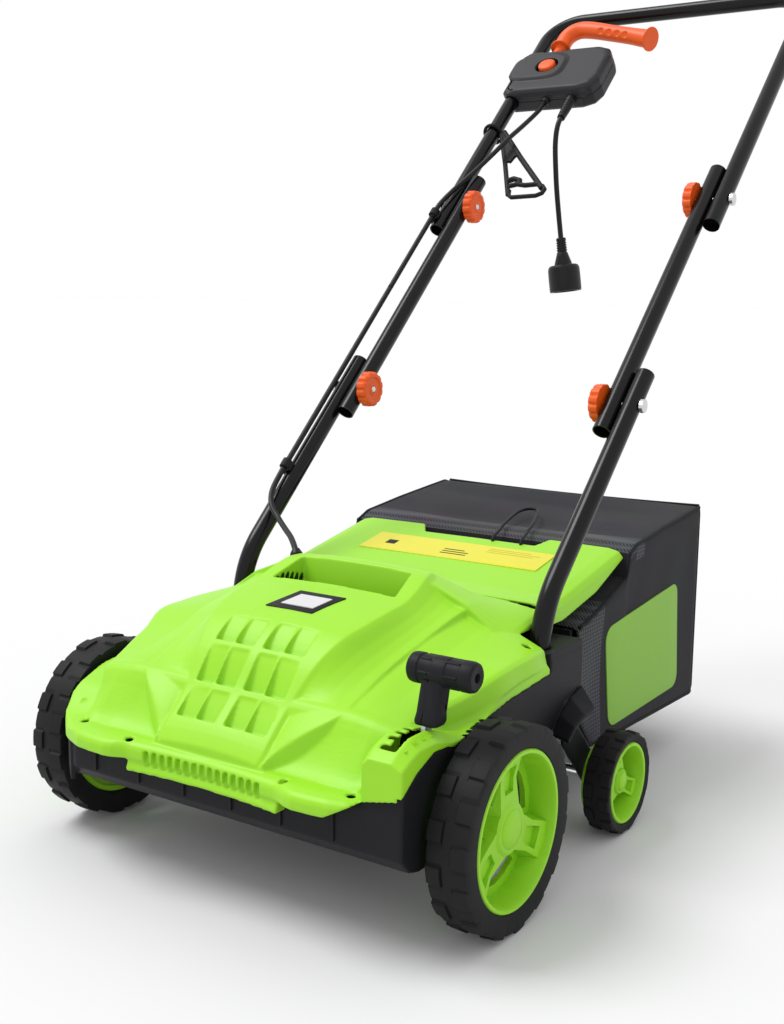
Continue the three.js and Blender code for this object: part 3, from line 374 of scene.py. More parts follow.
def tube(name, path, radius, sides=24, inner=None):
    """Swept tube. radius is one number or one per point; inner hollows its ends."""
    path = np.array(path, float)
    radii = np.full(len(path), float(radius)) if np.isscalar(radius) else np.array(radius, float)
    tangents = np.gradient(path, axis=0)
    tangents /= np.linalg.norm(tangents, axis=1)[:, None]
    normal = np.cross(tangents[0], [0.13, 0.31, 0.94])
    rings = []
    for point, tangent, r in zip(path, tangents, radii):
        normal = normal - tangent * (normal @ tangent)
        normal /= np.linalg.norm(normal)
        side = np.cross(tangent, normal)
        angles = np.linspace(0, 2 * math.pi, sides, endpoint=False)
        rings.append([point + r * (math.cos(a) * normal + math.sin(a) * side) for a in angles])
    if inner:
        first, last = np.array(rings[0]), np.array(rings[-1])
        depth = inner[1]
        lip_a = path[0] + (first - path[0]) * inner[0]
        lip_b = path[-1] + (last - path[-1]) * inner[0]
        rings = [lip_a + tangents[0] * depth, lip_a, *rings, lip_b, lip_b - tangents[-1] * depth]
    return skin(name, rings)


def turned(name, profile, centre, axis=(1, 0, 0), sides=64):
    """Body of revolution. The profile is a row of (radius, distance along the axis)."""
    axis = np.array(axis, float) / np.linalg.norm(axis)
    u = np.cross(axis, [0, 0, 1.0] if abs(axis[2]) < 0.9 else [0, 1.0, 0])
    u /= np.linalg.norm(u)
    v = np.cross(axis, u)
    centre = np.array(centre, float)
    rings = []
    for k in range(sides):
        a = 2 * math.pi * k / sides
        out = math.cos(a) * u + math.sin(a) * v
        rings.append([centre + axis * h + out * r for r, h in profile])
    count = len(profile)
    verts = [tuple(p) for ring in rings for p in ring]
    faces = []
    for k in range(sides):
        for i in range(count - 1):
            a, b = k * count + i, ((k + 1) % sides) * count + i
            faces.append((a, a + 1, b + 1, b))
    return raw(name, verts, faces)


def table(rows, y):
    """Smoothly interpolated values of a table whose first column is y."""
    rows = np.array(rows, float)
    slopes = np.gradient(rows[:, 1:], rows[:, 0], axis=0)
    i = int(np.clip(np.searchsorted(rows[:, 0], y) - 1, 0, len(rows) - 2))
    h = rows[i + 1, 0] - rows[i, 0]
    t = np.clip((y - rows[i, 0]) / h, 0, 1)
    a, b = rows[i, 1:], rows[i + 1, 1:]
    flat = np.sign(b - a)
    ma = np.where(flat * slopes[i] > 0, slopes[i], 0) * h
    mb = np.where(flat * slopes[i + 1] > 0, slopes[i + 1], 0) * h
    return ((2 * t ** 3 - 3 * t ** 2 + 1) * a + (t ** 3 - 2 * t ** 2 + t) * ma
            + (3 * t ** 2 - 2 * t ** 3) * b + (t ** 3 - t ** 2) * mb)


def mirrored(half, y):
    """Closed ring in the x-z plane from its half, which runs from the centre line outwards."""
    right = [(x, y, z) for x, z in half]
    return right + [(-x, y, z) for x, z in reversed(half) if x > 0]


# ------------------------------------------------------------------ cords
SUPPLY_X, BOX_LOW, RELIEF = -100.0, 589.0, 46.0
SUPPLY_STEPS = [(0, 0, 0), (0, -6.2, -6.6), (-0.5, -10.4, -17), (-1, -12.2, -30), (-1, -12.5, -46),
                (0.5, -12.2, -72), (3, -11.8, -102), (7, -11.4, -135), (12, -11, -172)]
MOTOR_EXIT = (-142.0, BOX_LOW - 0.3, 0.0)
MOTOR_UPPER = [MOTOR_EXIT, (-143, 562, 2), (-149, 522, 8), (-156, 485, 14), (-166, 440, 18),
               (-180, 400, 19), (-196, 364, 19), (-205, 340, 18), (-207, 326, 17), (-207, 312, 17)]
MOTOR_LOWER = [(-207, 311.6, 17), (-207, 190, 17), (-207, 60, 17), (-207, -134, 17),
               (-207, -158, 17), (-202, -190, 19), (-190, -212, 19)]
MOTOR_ENTRY = [(-172, 199, 317), (-150, 184, 309), (-128, 167, 304), (-110, 151, 298),
               (-99, 141, 291)]


def curve_piece(name, points, diameter, material):
    data = bpy.data.curves.new(name, "CURVE")
    data.dimensions = "3D"
    data.bevel_depth = diameter / 2
    data.bevel_resolution = 5
    data.use_fill_caps = True
    line = data.splines.new("POLY")
    line.points.add(len(points) - 1)
    for knot, point in zip(line.points, points):
        knot.co = (*metres(point), 1)
    data.materials.append(material)
    piece = bpy.data.objects.new(name, data)
    bpy.context.scene.collection.objects.link(piece)
    return piece


def supply_points():
    start = np.array(on_handle(SUPPLY_X, BOX_LOW - RELIEF - 0.36, 0))
    return spline([tuple(start + np.array(step)) for step in SUPPLY_STEPS], 30)


def add_cords():
    route = supply_points()
    inside = on_handle(SUPPLY_X, BOX_LOW - RELIEF + 6, 0)
    points = [inside, *[tuple(p) for p in route]]
    cord = curve_piece("supply_lead", points, 0.0075, RUBBER)
    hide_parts("supply_cord")
    plug = add_plug(route[-1], route[-1] - route[-3])
    relief = add_relief()
    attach(cord, "top_handle")
    add_motor_cable()


def add_relief():
    """Tapered sleeve with rings, where the supply lead leaves the switch box."""
    steps = np.linspace(0, 1, 29)
    path = [on_handle(SUPPLY_X, BOX_LOW + 4 - t * (RELIEF + 4), 0) for t in steps]
    radii = [8.4 - 2.5 * t - (0.9 if 6 < i < 25 and i % 3 == 0 else 0) for i, t in enumerate(steps)]
    relief = tube("lead_sleeve", path, radii, 24)
    return dress(relief, RUBBER, "top_handle", ["strain_relief"])


def add_plug(end, direction):
    """Hanging socket plug: ribbed neck, flared shoulders and a round body."""
    profile = [(0, 0), (6.2, 0), (7, 0.8)]
    for k in range(5):
        h = 2.5 + 3.6 * k
        profile += [(7.2 + 0.1 * k, h), (7.2 + 0.1 * k, h + 2.0), (6.2 + 0.1 * k, h + 2.2),
                    (6.2 + 0.1 * k, h + 3.3)]
    profile += [(7.6, 21), (9.5, 27), (12.4, 36), (13.0, 39), (19, 39.6), (21.4, 41), (22.8, 44),
                (23.2, 47), (23.4, 60), (23.3, 76), (22.6, 78), (17.5, 78), (17, 60), (0, 60)]
    plug = turned("lead_plug", profile, end, direction, 56)
    return dress(plug, RUBBER, "top_handle", ["cord_plug"])


def add_motor_cable():
    upper = spline([on_handle(*p) for p in MOTOR_UPPER], 70)
    upper = np.vstack([on_handle(-142, BOX_LOW + 4, 0), upper])
    top = tube("motor_cable_top", upper, 3.5, 14)
    dress(top, RUBBER, "top_handle", ["motor_cable_upper"], smooth=0)
    grommet = tube("motor_cable_grommet", [on_handle(-142, BOX_LOW + 3, 0),
                                           on_handle(-142.2, BOX_LOW - 5, 0),
                                           on_handle(-142.3, BOX_LOW - 7, 0.2)], [6.5, 6.2, 5], 20)
    dress(grommet, RUBBER, "top_handle")
    lower = spline([*[on_handle(*p) for p in MOTOR_LOWER], *MOTOR_ENTRY], 150)
    along = (lower[:, 1] - HANDLE[0]) * COS + (lower[:, 2] - HANDLE[1]) * SIN
    cut = int(np.argmin(np.abs(along - 170)))
    middle = tube("motor_cable_middle", lower[:cut + 1], 3.5, 14)
    low = tube("motor_cable_low", lower[cut:], 3.5, 14)
    for piece, slot_node in ((middle, ()), (low, ("motor_cable_lower",))):
        mesh = piece.data
        mesh.materials.append(RUBBER)
        mesh.shade_smooth()
        if slot_node:
            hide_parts(*slot_node)
    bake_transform(middle)
    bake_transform(low)
    boot = tube("motor_cable_boot", [(-99, 141, 286), (-99, 141, 293), (-101, 142.5, 296)],
                [7.5, 7, 4.6], 20)
    dress(boot, RUBBER, "chassis")


# ------------------------------------------------------------------ wheels
SPOKE_TURN = 1.62


def add_tyre(name, side, y, radius, rim_radius, inner, outer, lugs, node, body):
    """Moulded tyre: a shallow crown with blocks at both edges, staggered from side to side."""
    sides = lugs * 24
    middle, half = (inner + outer) / 2, (outer - inner) / 2
    stations = np.array([-1, -0.94, -0.86, -0.7, -0.5, -0.26, -0.24, -0.19, 0, 0.19, 0.24, 0.26,
                         0.5, 0.7, 0.86, 0.94, 1.0]) * half
    verts, faces = [], []
    groove = 0.012 * radius + 0.9
    for k in range(sides):
        angle = 2 * math.pi * k / sides
        phase = (k / 24) % 1
        ring = [(rim_radius, -half + 5), (rim_radius + 2.5, -half + 1.5), (radius * 0.93, -half)]
        for h in stations[1:-1]:
            edge = abs(h) / half
            here = phase if h > 0 else (phase + 0.5) % 1
            block_here = 0.14 < here < 0.62 and edge > 0.25
            rim_of_block = 0.06 < here < 0.70 and edge > 0.2
            drop = 1.2 * edge ** 2.2 + (0 if block_here else groove)
            if rim_of_block and not block_here:
                drop += 0.7
            ring.append((radius - drop, h))
        ring += [(radius * 0.93, half), (rim_radius + 2.5, half - 1.5), (rim_radius, half - 5)]
        for r, h in ring:
            verts.append((side * (middle + h), y + r * math.cos(angle),
                          radius + r * math.sin(angle)))
    count = len(ring)
    for k in range(sides):
        for i in range(count):
            a, b = k * count + i, ((k + 1) % sides) * count + i
            c, d = ((k + 1) % sides) * count + (i + 1) % count, k * count + (i + 1) % count
            faces.append((a, b, c, d))
    tyre = raw(name, verts, faces)
    return dress(tyre, TYRE, body, [node], smooth=28)


def add_rim(name, side, y, wheel_radius, rim_radius, outer, node, body):
    """Dished wheel centre with three broad box spokes, a hub and its cap."""
    r = rim_radius
    centre, axis = (side * outer, y, wheel_radius), (side, 0, 0)

    def polar(reach, across, turn):
        return (y + reach * math.cos(turn) - across * math.sin(turn),
                wheel_radius + reach * math.sin(turn) + across * math.cos(turn))

    def slab(name, outline, deep, shallow):
        low, high = sorted((side * (outer - deep), side * (outer - shallow)))
        return prism(name, outline, low, high)

    barrel = turned("barrel", [(r - 0.4, -38), (r - 0.4, -4.4), (r + 1.6, -2.6), (r + 0.6, -1.0),
                               (r - 2.6, -1.2), (r - 4.0, -4), (r - 5.5, -30), (r - 6, -38),
                               (r - 0.4, -38)], centre, axis, 96)
    web = turned("web", [(0, -34), (r - 2, -34), (r - 2, -29), (r * 0.35, -26), (0, -26), (0, -34)],
                 centre, axis, 72)
    hub = turned("hub", [(0, -36), (r * 0.36, -36), (r * 0.34, -12), (r * 0.30, -9.5), (0, -9.5)],
                 centre, axis, 48)
    spokes, pockets, gaps = [], [], []
    for k in range(3):
        turn = 2 * math.pi * k / 3 + SPOKE_TURN
        rows = []
        for reach, width, depth in ((r * 0.2, 0.28, -11.5), (r * 0.62, 0.24, -13.5),
                                    (r - 3.2, 0.30, -8.5)):
            w = r * width
            rows.append([(side * (outer + h), *polar(reach, across, turn)) for across, h in
                         ((-w, -30), (-w * 0.82, depth), (w * 0.82, depth), (w, -30))])
        spokes.append(skin("spoke", rows))
        pockets.append(slab("pocket", [polar(reach, across, turn) for reach, across in
                                       ((r * 0.46, -r * 0.10), (r * 0.46, r * 0.10),
                                        (r * 0.80, r * 0.15), (r * 0.80, -r * 0.15))], 17, 4))
        between = 2 * math.pi * (k + 0.5) / 3 + SPOKE_TURN
        gaps.append(slab("gap", [polar(reach, 0, between + a) for reach, span in
                                 ((r * 0.44, (-0.5, 0, 0.5)), (r * 0.80, (0.62, 0.3, 0, -0.3, -0.62)))
                                 for a in span], 40, 20))
    rim = combine(barrel, [web, hub, *spokes])
    for cut in [*pockets, *gaps]:
        combine(rim, [cut], "DIFFERENCE")
    bevel(rim, 1.2 if r > 60 else 0.9, 2, 35)
    dress(rim, GREEN, body, [node], smooth=40)
    cap = turned(name + "_cap", [(0, -6.2), (r * 0.13, -6.4), (r * 0.22, -7.6), (r * 0.25, -9.2),
                                 (r * 0.25, -11)], centre, axis, 40)
    dress(cap, GREEN, body, smooth=50)
    rim.name = name


def add_wheels():
    """Front and rear wheels: distance back, radius, rim radius, inner and outer face, tread blocks."""
    for end, side in (("left", -1), ("right", 1)):
        for place, y, radius, rim, inner, outer, lugs in (("front", 0, 100, 75, 231, 274, 15),
                                                          ("rear", 275, 57, 43.5, 230, 261, 12)):
            body = f"{place}_wheel_{end}"
            add_tyre(f"tyre_{place}_{end}", side, y, radius, rim, inner, outer, lugs,
                     f"{place}_tyre_{end}", body)
            add_rim(f"wheel_{place}_{end}", side, y, radius, rim, outer, f"{place}_rim_{end}", body)


# ------------------------------------------------------------------ hood
HOOD_X = 224.5
WALL_FOOT = 97.0
WALL = 3.0
# distance back, half width, height of the crown over the motor
CROWN = [(-122, 63, 157.5), (-115, 66, 167), (-98, 66, 184), (-78, 67, 203), (-52, 76, 235),
         (-20, 87, 259), (8, 94, 268), (45, 99, 276.5), (73, 100, 281), (92, 99, 288),
         (120, 94, 297.5), (134, 90, 298.5), (160, 86, 287), (199, 84, 265)]
# distance back, outer limit of the flank, its height, height of its foot
FLANK = [(-122, 67, 156, 146), (-115, 70, 161, 147), (-98, 94, 182, 163), (-78, 122.6, 201.5, 178),
         (-52, 126, 212, 190), (-20, 128, 225, 200), (8, 130, 235, 205), (45, 134, 247, 210),
         (73, 136, 255, 215), (120, 140, 266, 220), (160, 142, 264, 220), (199, 142, 260, 220)]
# distance back, height inside, at x=160, wall position, wall top, ledge height
SHOULDER = [(-114, 150, 150, 176, 149, 146), (-108, 154, 154, 177, 152, 148),
            (-88, 180, 182, 180, 174, 160), (-77, 201, 199, 185, 193, 169),
            (-60, 208, 205, 191, 198, 177), (-40, 216, 210, 197, 203, 184.5),
            (-17, 225, 216, 204, 209, 188), (13, 236, 224, 213, 216, 193),
            (43, 248, 236, 223, 227, 204), (79, 257, 244, 224, 230, 210),
            (120, 266, 252, 223.5, 231, 212), (146, 266, 254, 219, 230, 212)]
DECK = [(118, 297, 271, 241), (150, 293, 268, 247), (175, 280, 264, 252), (199.5, 265, 261, 256)]


def shrunk(half, inset):
    """A half ring moved in by a wall's thickness; points below the walls keep their height."""
    return [(max(x - inset, 0), z - inset if z > WALL_FOOT else z) for x, z in half]


def crown_solid(inset):
    rings = []
    for y in np.linspace(-122 + inset, 199 - inset, 76):
        (w, t), (out, edge, foot) = table(CROWN, y), table(FLANK, y)
        half = [(0, t), (w * 0.45, t - 0.6), (w * 0.8, t - 2.4), (w - 3, t - 3.4), (w + 1, t - 7.5)]
        a, c = np.array((w + 1, t - 7.5)), np.array((out, edge))
        b = np.array((a[0] + 0.38 * (c[0] - a[0]), c[1] + 0.12 * (a[1] - c[1])))
        for s in (0.25, 0.5, 0.75, 1.0):
            half.append(tuple((1 - s) ** 2 * a + 2 * s * (1 - s) * b + s ** 2 * c))
        half += [(out + 4, min(foot, edge - 8)), (out + 4, 96)]
        rings.append(mirrored(shrunk(half, inset), y))
    return skin("crown", rings)


def shoulder_solid(inset):
    rings = []
    for y in np.linspace(-114 + inset, 146 - inset, 66):
        inner, mid, wall, top, ledge = table(SHOULDER, y)
        half = [(0, inner), (121, inner), (140, (inner + mid) / 2 + 1), (160, mid),
                (wall - 6, top + 2.2), (wall - 1.5, top - 1), (wall + 1.5, min(ledge + 4, top - 2)),
                (wall + 5 if wall < 218 else HOOD_X - 0.6, ledge), (HOOD_X - 0.5, ledge - 0.4),
                (HOOD_X, ledge - 3), (HOOD_X, 96)]
        rings.append(mirrored(shrunk(half, inset), y))
    return skin("shoulder", rings)


def deck_solid(inset):
    rings = []
    for y in np.linspace(118 + 2.5 * inset, 199.8 - inset, 20):
        centre, mid, side = table(DECK, y)
        half = [(0, centre), (84, centre - 3), (140, mid), (183, side), (188.6, side - 4),
                (189, 93 if inset else 241)]
        rings.append(mirrored(shrunk(half, inset), y))
    return skin("deck", rings)


SHELF = [(-224.5, -30), (-224.5, -84), (-219, -97), (-207, -111), (-190, -126), (-174, -136),
         (-157, -141), (-137, -143.2), (-118, -144), (-109, -142), (-97, -136.5), (-92, -135),
         (-50, -131.5)]


def shelf_solid(inset):
    outline = [*SHELF, (0, -129.5), *((-x, y) for x, y in reversed(SHELF))]
    rings = []
    bottom = 131 if inset == 0 else 92
    for z, pull in ((bottom, 0.8), (bottom + 2, 0), (141, 0), (144.5, 1.4), (147.5, 5), (149.6, 13)):
        grow = inset + pull
        height = z - inset if z > 140 else z
        rings.append([(x * (1 - grow / 226), y + grow if y < -60 else y, height) for x, y in outline])
    return skin("shelf", rings)


def strip_bow(x):
    """How far the louvred strip stands forward of its ends."""
    return 6.5 * (1 - (x / 95) ** 2)


def strip_solid(inset):
    rings = []
    for x in np.linspace(-95 + inset, 95 - inset, 31):
        bow = strip_bow(x)
        low = 119 if inset == 0 else 92
        ring = [(-110, low), (-135.5 + bow + inset, low), (-136 + bow + inset, low + 3),
                (-134.3 + bow + inset, 125.5), (-129.6 + bow * 0.6 + inset, 144 - inset),
                (-127.6 + bow * 0.6 + inset, 146.8 - inset), (-110, 146.8 - inset)]
        rings.append([(x, y, z) for y, z in ring])
    return skin("strip", rings)


HOUSING = [(-125, 183, 189, 183.5), (-112, 192, 197, 190), (-97, 197, 203, 195), (-75, 199, 204, 195),
           (-53, 195, 199.5, 190.5), (-39, 190, 194, 186), (-24, 188, 190, 185.5), (4, 186, 188, 185)]


def housing_solid(inset):
    rings = []
    for y in np.linspace(-125 + inset, 4, 34):
        a, b, c = table(HOUSING, y)
        ring = [(182 + inset, 96), (182 + inset, a - inset), (188 + inset, b - inset),
                (213 - inset * 0.6, b - inset), (224.6 - inset, c - inset), (224.6 - inset, 96)]
        rings.append([(x, y, z) for x, z in ring])
    return skin("housing", rings)


def hood_form(inset):
    parts = [solid(inset) for solid in (crown_solid, shoulder_solid, deck_solid, shelf_solid,
                                        strip_solid, housing_solid)]
    return combine(parts[0], parts[1:])


ROWS = [(-105, -81), (-76, -51), (-46, -18)]


def grid_tools():
    """Tapered pockets of the front grid: shallow at the top of a cell, deep at its foot."""
    tools = []
    for low, high in ROWS:
        ys = np.linspace(low, high, 5)
        surface_z = np.array([table(CROWN, y)[1] for y in ys])
        slope = np.gradient(surface_z, ys)
        normal = np.column_stack([-slope, np.ones(5)]) / np.sqrt(1 + slope ** 2)[:, None]
        line = np.column_stack([ys, surface_z])
        depth = np.linspace(6.8, 0.4, 5)[:, None]
        outline = [*(line + normal * 9), *(line - normal * (depth + 1.2))[::-1]]
        for x0, x1 in ((6, 30), (32.2, 56)):
            for s in (-1, 1):
                a, b = sorted((s * x0, s * x1))
                tools.append(prism("cell", outline, a, b))
    return tools


def louvre_tools():
    tools = []
    for k in range(15):
        x = -70 + 10 * k
        bow = strip_bow(x)
        outline = [(-146, 126), (-146, 142.4), (-127.4 + 0.6 * bow, 142.4), (-131.4 + bow, 126)]
        tools.append(prism("louvre", outline, x - 3.3, x + 3.3))
    return tools


PARTING = [(-40, 182), (0, 190), (61, 200), (150, 206)]
PARTING_RIGHT = [(-160, 150), (-126, 158), (-101, 175.7), (-74, 186.7), (-51, 185.7), *PARTING]
PARTING_LEFT = [(-130, 131), (-98, 134), (-66, 172), *PARTING]


def under_tool(line, x0, x1):
    outline = [(-160, 60), (230, 60), (230, 206), *reversed(line), (-160, line[0][1])]
    return prism("under", outline, x0, x1)


def recess_tool(grow, z0, z1):
    outline = [(-77, 76), (77, 76), (68, 119), (-68, 119)]
    rings = []
    for z, g in ((z0, -3), (z1, 3.5)):
        rings.append([(x + math.copysign(grow + g, x), y + (grow + g) * (1 if y > 90 else -0.4), z)
                      for x, y in outline])
    return skin("recess", rings)


def add_hood():
    """Hollow moulding with its recess, grid, louvres, lever slot and screw holes."""
    hood = hood_form(0)
    lining = combine(recess_tool(WALL, 246, 299), [hood_copy(hood)], "INTERSECT")
    backing = combine(block("backing", (-62, 62), (-111, -12), (120, 270)), [hood_copy(hood)],
                      "INTERSECT")
    combine(backing, [crown_solid(17)], "DIFFERENCE")
    solid_front = [block("keep", (-96, 96), (-150, -119), (80, 152)),
                   block("front", (-250, 250), (-150, -128), (80, 152))]
    bosses = [block("boss", (x - 5, x + 5), (-89, -78), (80, 200)) for x in (-127.4, 127.4)]
    hollow = combine(hood_form(WALL), [*solid_front, *bosses], "DIFFERENCE")
    combine(hood, [hollow], "DIFFERENCE")
    combine(hood, [lining, backing])
    combine(hood, hood_cuts(), "DIFFERENCE")
    soften(hood, 1.4, 3)
    hood.name = "hood_moulding"
    dress(hood, GREEN, "chassis", ["hood_cover"], smooth=0)


def hood_cuts():
    """Tools for every opening, and for the hood's lower edge."""
    nose = [(150, 130.5), (182, 147.5), (240, 160), (240, 60), (150, 60)]
    corner = [(-270, -84), (-HOOD_X, -84), (-214, -104), (-190, -127), (-157, -141), (-150, -180),
              (-270, -180)]
    groove = [(-93, 108), (-70, 132.4), (70, 132.4), (93, 108), (91, 107), (69, 130.8),
              (-69, 130.8), (-91, 107)]
    screws = [(-172, -116, 146), (-97, -127, 144.5), (97, -127, 144.5), (168, -120, 146),
              (-202, -92, 156.5), (206, 128, 210)]
    return [recess_tool(0, 250, 302), block("vent", (-52, 52), (80, 113), (240, 252)),
            *grid_tools(), *louvre_tools(),
            block("slot", (200.5, 210), (-113, -44), (150, 215)),
            block("floor", (-230, 230), (-106, 230), (60, 118.5)),
            block("apron", (-230, 230), (-200, -30), (60, 118.9)),
            block("below", (-181, 181), (-30, 240), (60, 206)),
            under_tool(PARTING_RIGHT, 218.5, 240),
            block("bay", (185, 218.6), (-121.5, 150), (60, 152)),
            prism("nose", nose, -160, -110, "xz"), prism("corner", corner, 60, 260, "xy"),
            under_tool(PARTING_LEFT, -240, -181),
            *(block("notch", (193, 203), (y - 3, y + 3), (186, 215)) for y in (-110, -98, -86, -74)),
            *(turned("screw", [(0, 0), (4.4, 0), (4.8, 40), (0, 40)], place, (0, 0, 1), 20)
              for place in screws),
            prism("groove", groove, 294.5, 320, "xy")]


def hood_copy(hood):
    twin = bpy.data.objects.new("hood_copy", hood.data.copy())
    bpy.context.scene.collection.objects.link(twin)
    return twin


def add_figures():
    """Working depth figures beside the lever's slot."""
    for k, y in enumerate((-108, -95, -82, -69)):
        data = bpy.data.curves.new(f"figure_{k + 1}", "FONT")
        data.body = str(k + 1)
        data.size = 9 * MM
        data.extrude = 0.5 * MM
        data.align_x = data.align_y = "CENTER"
        figure = bpy.data.objects.new(f"depth_figure_{k + 1}", data)
        bpy.context.scene.collection.objects.link(figure)
        _, top, edge = table(HOUSING, y)
        figure.matrix_world = (Matrix.Translation(metres((217.4, y, (top + edge) / 2 + 1.2)))
                               @ Matrix.Rotation(math.radians(30), 4, "Y"))
        bpy.context.view_layer.update()
        mesh = bpy.data.meshes.new_from_object(figure.evaluated_get(
            bpy.context.evaluated_depsgraph_get()))
        mesh.transform(figure.matrix_world)
        bpy.data.objects.remove(figure)
        piece = bpy.data.objects.new(f"depth_figure_{k + 1}", mesh)
        bpy.context.scene.collection.objects.link(piece)
        mesh.materials.clear()
        dress(piece, GREEN, "chassis", smooth=30)


# ------------------------------------------------------------------ badge
def on_crown(corners, lift):
    return [(x, y, table(CROWN, y)[1] + lift) for x, y in corners]


def add_badge():
    edge = [(-33, 6), (27, 6), (40, 47), (-19, 47)]
    face = [(-19, 14), (22, 14), (29, 38), (-11, 38)]
    plate = skin("badge", [on_crown(edge, -3), on_crown(edge, 0.9)])
    bevel(plate, 0.5, 2)
    plate.name = "badge_panel"
    dress(plate, BLACK, "chassis", ["badge_plate"])
    dress(skin("badge_inset", [on_crown(face, 0.2), on_crown(face, 1.35)]), PAPER, "chassis")


# ------------------------------------------------------------------ chassis, axles, rotor, motor
def add_chassis():
    shell = copy_of("chassis_shell", "chassis_moulding")
    soften(shell, 2.0, 3)
    dress(shell, BLACK, "chassis", ["chassis_shell"], smooth=0)
    for end in ("left", "right"):
        guard = copy_of(f"rear_fender_{end}", f"mudguard_{end}")
        soften(guard, 1.2, 4)
        dress(guard, BLACK, "chassis", [f"rear_fender_{end}"], smooth=0)
    ribs = [block("rib", (x - 1.2, x + 1.2), (-124, -117), (103, 130)) for x in range(-150, 151, 60)]
    apron = combine(ribs[0], ribs[1:])
    bevel(apron, 0.5, 2)
    grille = copy_of("hood_grille", "recess_grille")
    grille.data.transform(Matrix.Translation((0, -3 * MM, 13.5 * MM)))
    dress(grille, BLACK, "chassis", ["hood_grille"])
    outline = [(118, 128), (152, 132), (183, 149.5), (222, 158.5), (222, 120), (118, 120)]
    riser = prism("front_riser", outline, -121.9, -118.5, "xz")
    bevel(riser, 0.4, 2)
    dress(riser, BLACK, "chassis")
    apron.name = "front_ribs"
    dress(apron, BLACK, "chassis")


def add_finishes():
    """Better materials for the CAD pieces that are shown as they are."""
    sides = ("left", "right")
    steel = ["motor_pulley", "rotor_pulley", "front_crank_axle", "flap_hinge_pin",
             *(f"rotor_bearing_{end}" for end in sides), *(f"tine_rod_{k}" for k in range(1, 5)),
             *(f"{level}_bolt_{end}" for level in ("lower", "upper") for end in sides)]
    black = ["rotor_drum", "bag_frame", *(f"axle_clamp_{end}" for end in sides)]
    for material, nodes in ((STEEL, steel), (BLACK, black), (CAST, ["motor_body"]),
                            (RUBBER, ["drive_belt"]), (CHROME, ["rear_axle"])):
        for node in nodes:
            paint(node, material)


def add_depth_lever():
    """T-handle of two bolted half shells on the axle's steel arm."""
    top = (-47, 253)
    grip = turned("lever_grip", [(0, -34), (11.5, -34), (13.6, -32.2), (14.4, -29), (14.4, -22.5),
                                 (13.2, -21.6), (13.2, -8.5), (14.3, -7.4), (14.3, 6), (13.2, 7.2),
                                 (13.2, 20.5), (14.4, 21.8), (14.4, 29), (13.5, 32.4), (11.4, 34),
                                 (4.6, 34), (4.6, 27), (0, 27)], (217, *top), (1, 0, 0), 48)
    ribs = []
    for k in range(6):
        angle = 2 * math.pi * k / 6
        ribs.append(tube("rib", [(197, top[0] + 12.9 * math.cos(angle), top[1] + 12.9 * math.sin(angle)),
                                 (237, top[0] + 12.9 * math.cos(angle), top[1] + 12.9 * math.sin(angle))],
                         1.5, 8))
    foot, head = (-59.0, 207.0), (-49.0, 246.0)
    rings = []
    for t, wide, deep in ((0, 12, 10), (0.08, 13, 11), (0.25, 12.2, 10), (1, 11.6, 10.5)):
        y, z = foot[0] + t * (head[0] - foot[0]), foot[1] + t * (head[1] - foot[1])
        ring = []
        for a in np.linspace(0, 2 * math.pi, 20, endpoint=False):
            ca, sa = math.cos(a), math.sin(a)
            ring.append((210 + wide * np.sign(ca) * abs(ca) ** 0.45,
                         y + deep * np.sign(sa) * abs(sa) ** 0.45, z))
        rings.append(ring)
    stem = skin("lever_stem", rings)
    lever = combine(grip, [*ribs, stem])
    seam = block("seam", (206.6, 207.4), (-90, -20), (200, 280))
    inner = turned("keep", [(0, -3), (13.4, -3), (13.4, 3), (0, 3)], (207, *top), (1, 0, 0), 40)
    core = block("core", (200, 214), (-66, -40), (200, 244))
    combine(core, [inner])
    combine(seam, [core], "DIFFERENCE")
    screw = turned("screw", [(0, -1), (3.2, -1), (3.2, 8), (0, 8)], (214, -53, 222), (1, 0, 0), 18)
    combine(lever, [seam, screw], "DIFFERENCE")
    bevel(lever, 0.45, 2, 40)
    lever.name = "depth_lever_grip"
    dress(lever, BLACK, "front_axle", ["depth_lever"], smooth=32)


# ------------------------------------------------------------------ handle
OUTER_X, INNER_X, UPPER_S, BAR_S = 201.4, 179.0, 351.0, 785.0
TUBE_R = 11.0
BUTTON = (-157, 646)
BORE = (0.86, 12)                   # share of the tube's radius, and depth, of its open ends


def add_tubes():
    for end, side in (("left", -1), ("right", 1)):
        x = side * OUTER_X
        foot, corner, top = (x, 163, 204), (x, 169.7, 265.7), on_handle(x, 48, 0)
        arc = rounded(foot, corner, top, 111, 14)
        lower = tube(f"lower_leg_{end}", [foot, *arc, top], TUBE_R, 32, inner=BORE)
        dress(lower, TUBE, "chassis", [f"lower_tube_{end}"], smooth=50)
        x = side * INNER_X
        middle = tube(f"middle_leg_{end}", [on_handle(x, s, 0) for s in (-42, 100, 250, 407)],
                      TUBE_R, 32, inner=BORE)
        dress(middle, TUBE, "middle_handle", [f"middle_tube_{end}"], smooth=50)
    ends = [on_handle(x, s, 0) for x, s in ((-OUTER_X, 303), (-OUTER_X, BAR_S), (OUTER_X, BAR_S),
                                            (OUTER_X, 303))]
    path = [ends[0], *rounded(ends[0], ends[1], ends[2], 50, 14),
            *rounded(ends[1], ends[2], ends[3], 50, 14), ends[3]]
    bar = tube("handle_bar", path, TUBE_R, 32, inner=BORE)
    dress(bar, TUBE, "top_handle", ["upper_handle"], smooth=50)


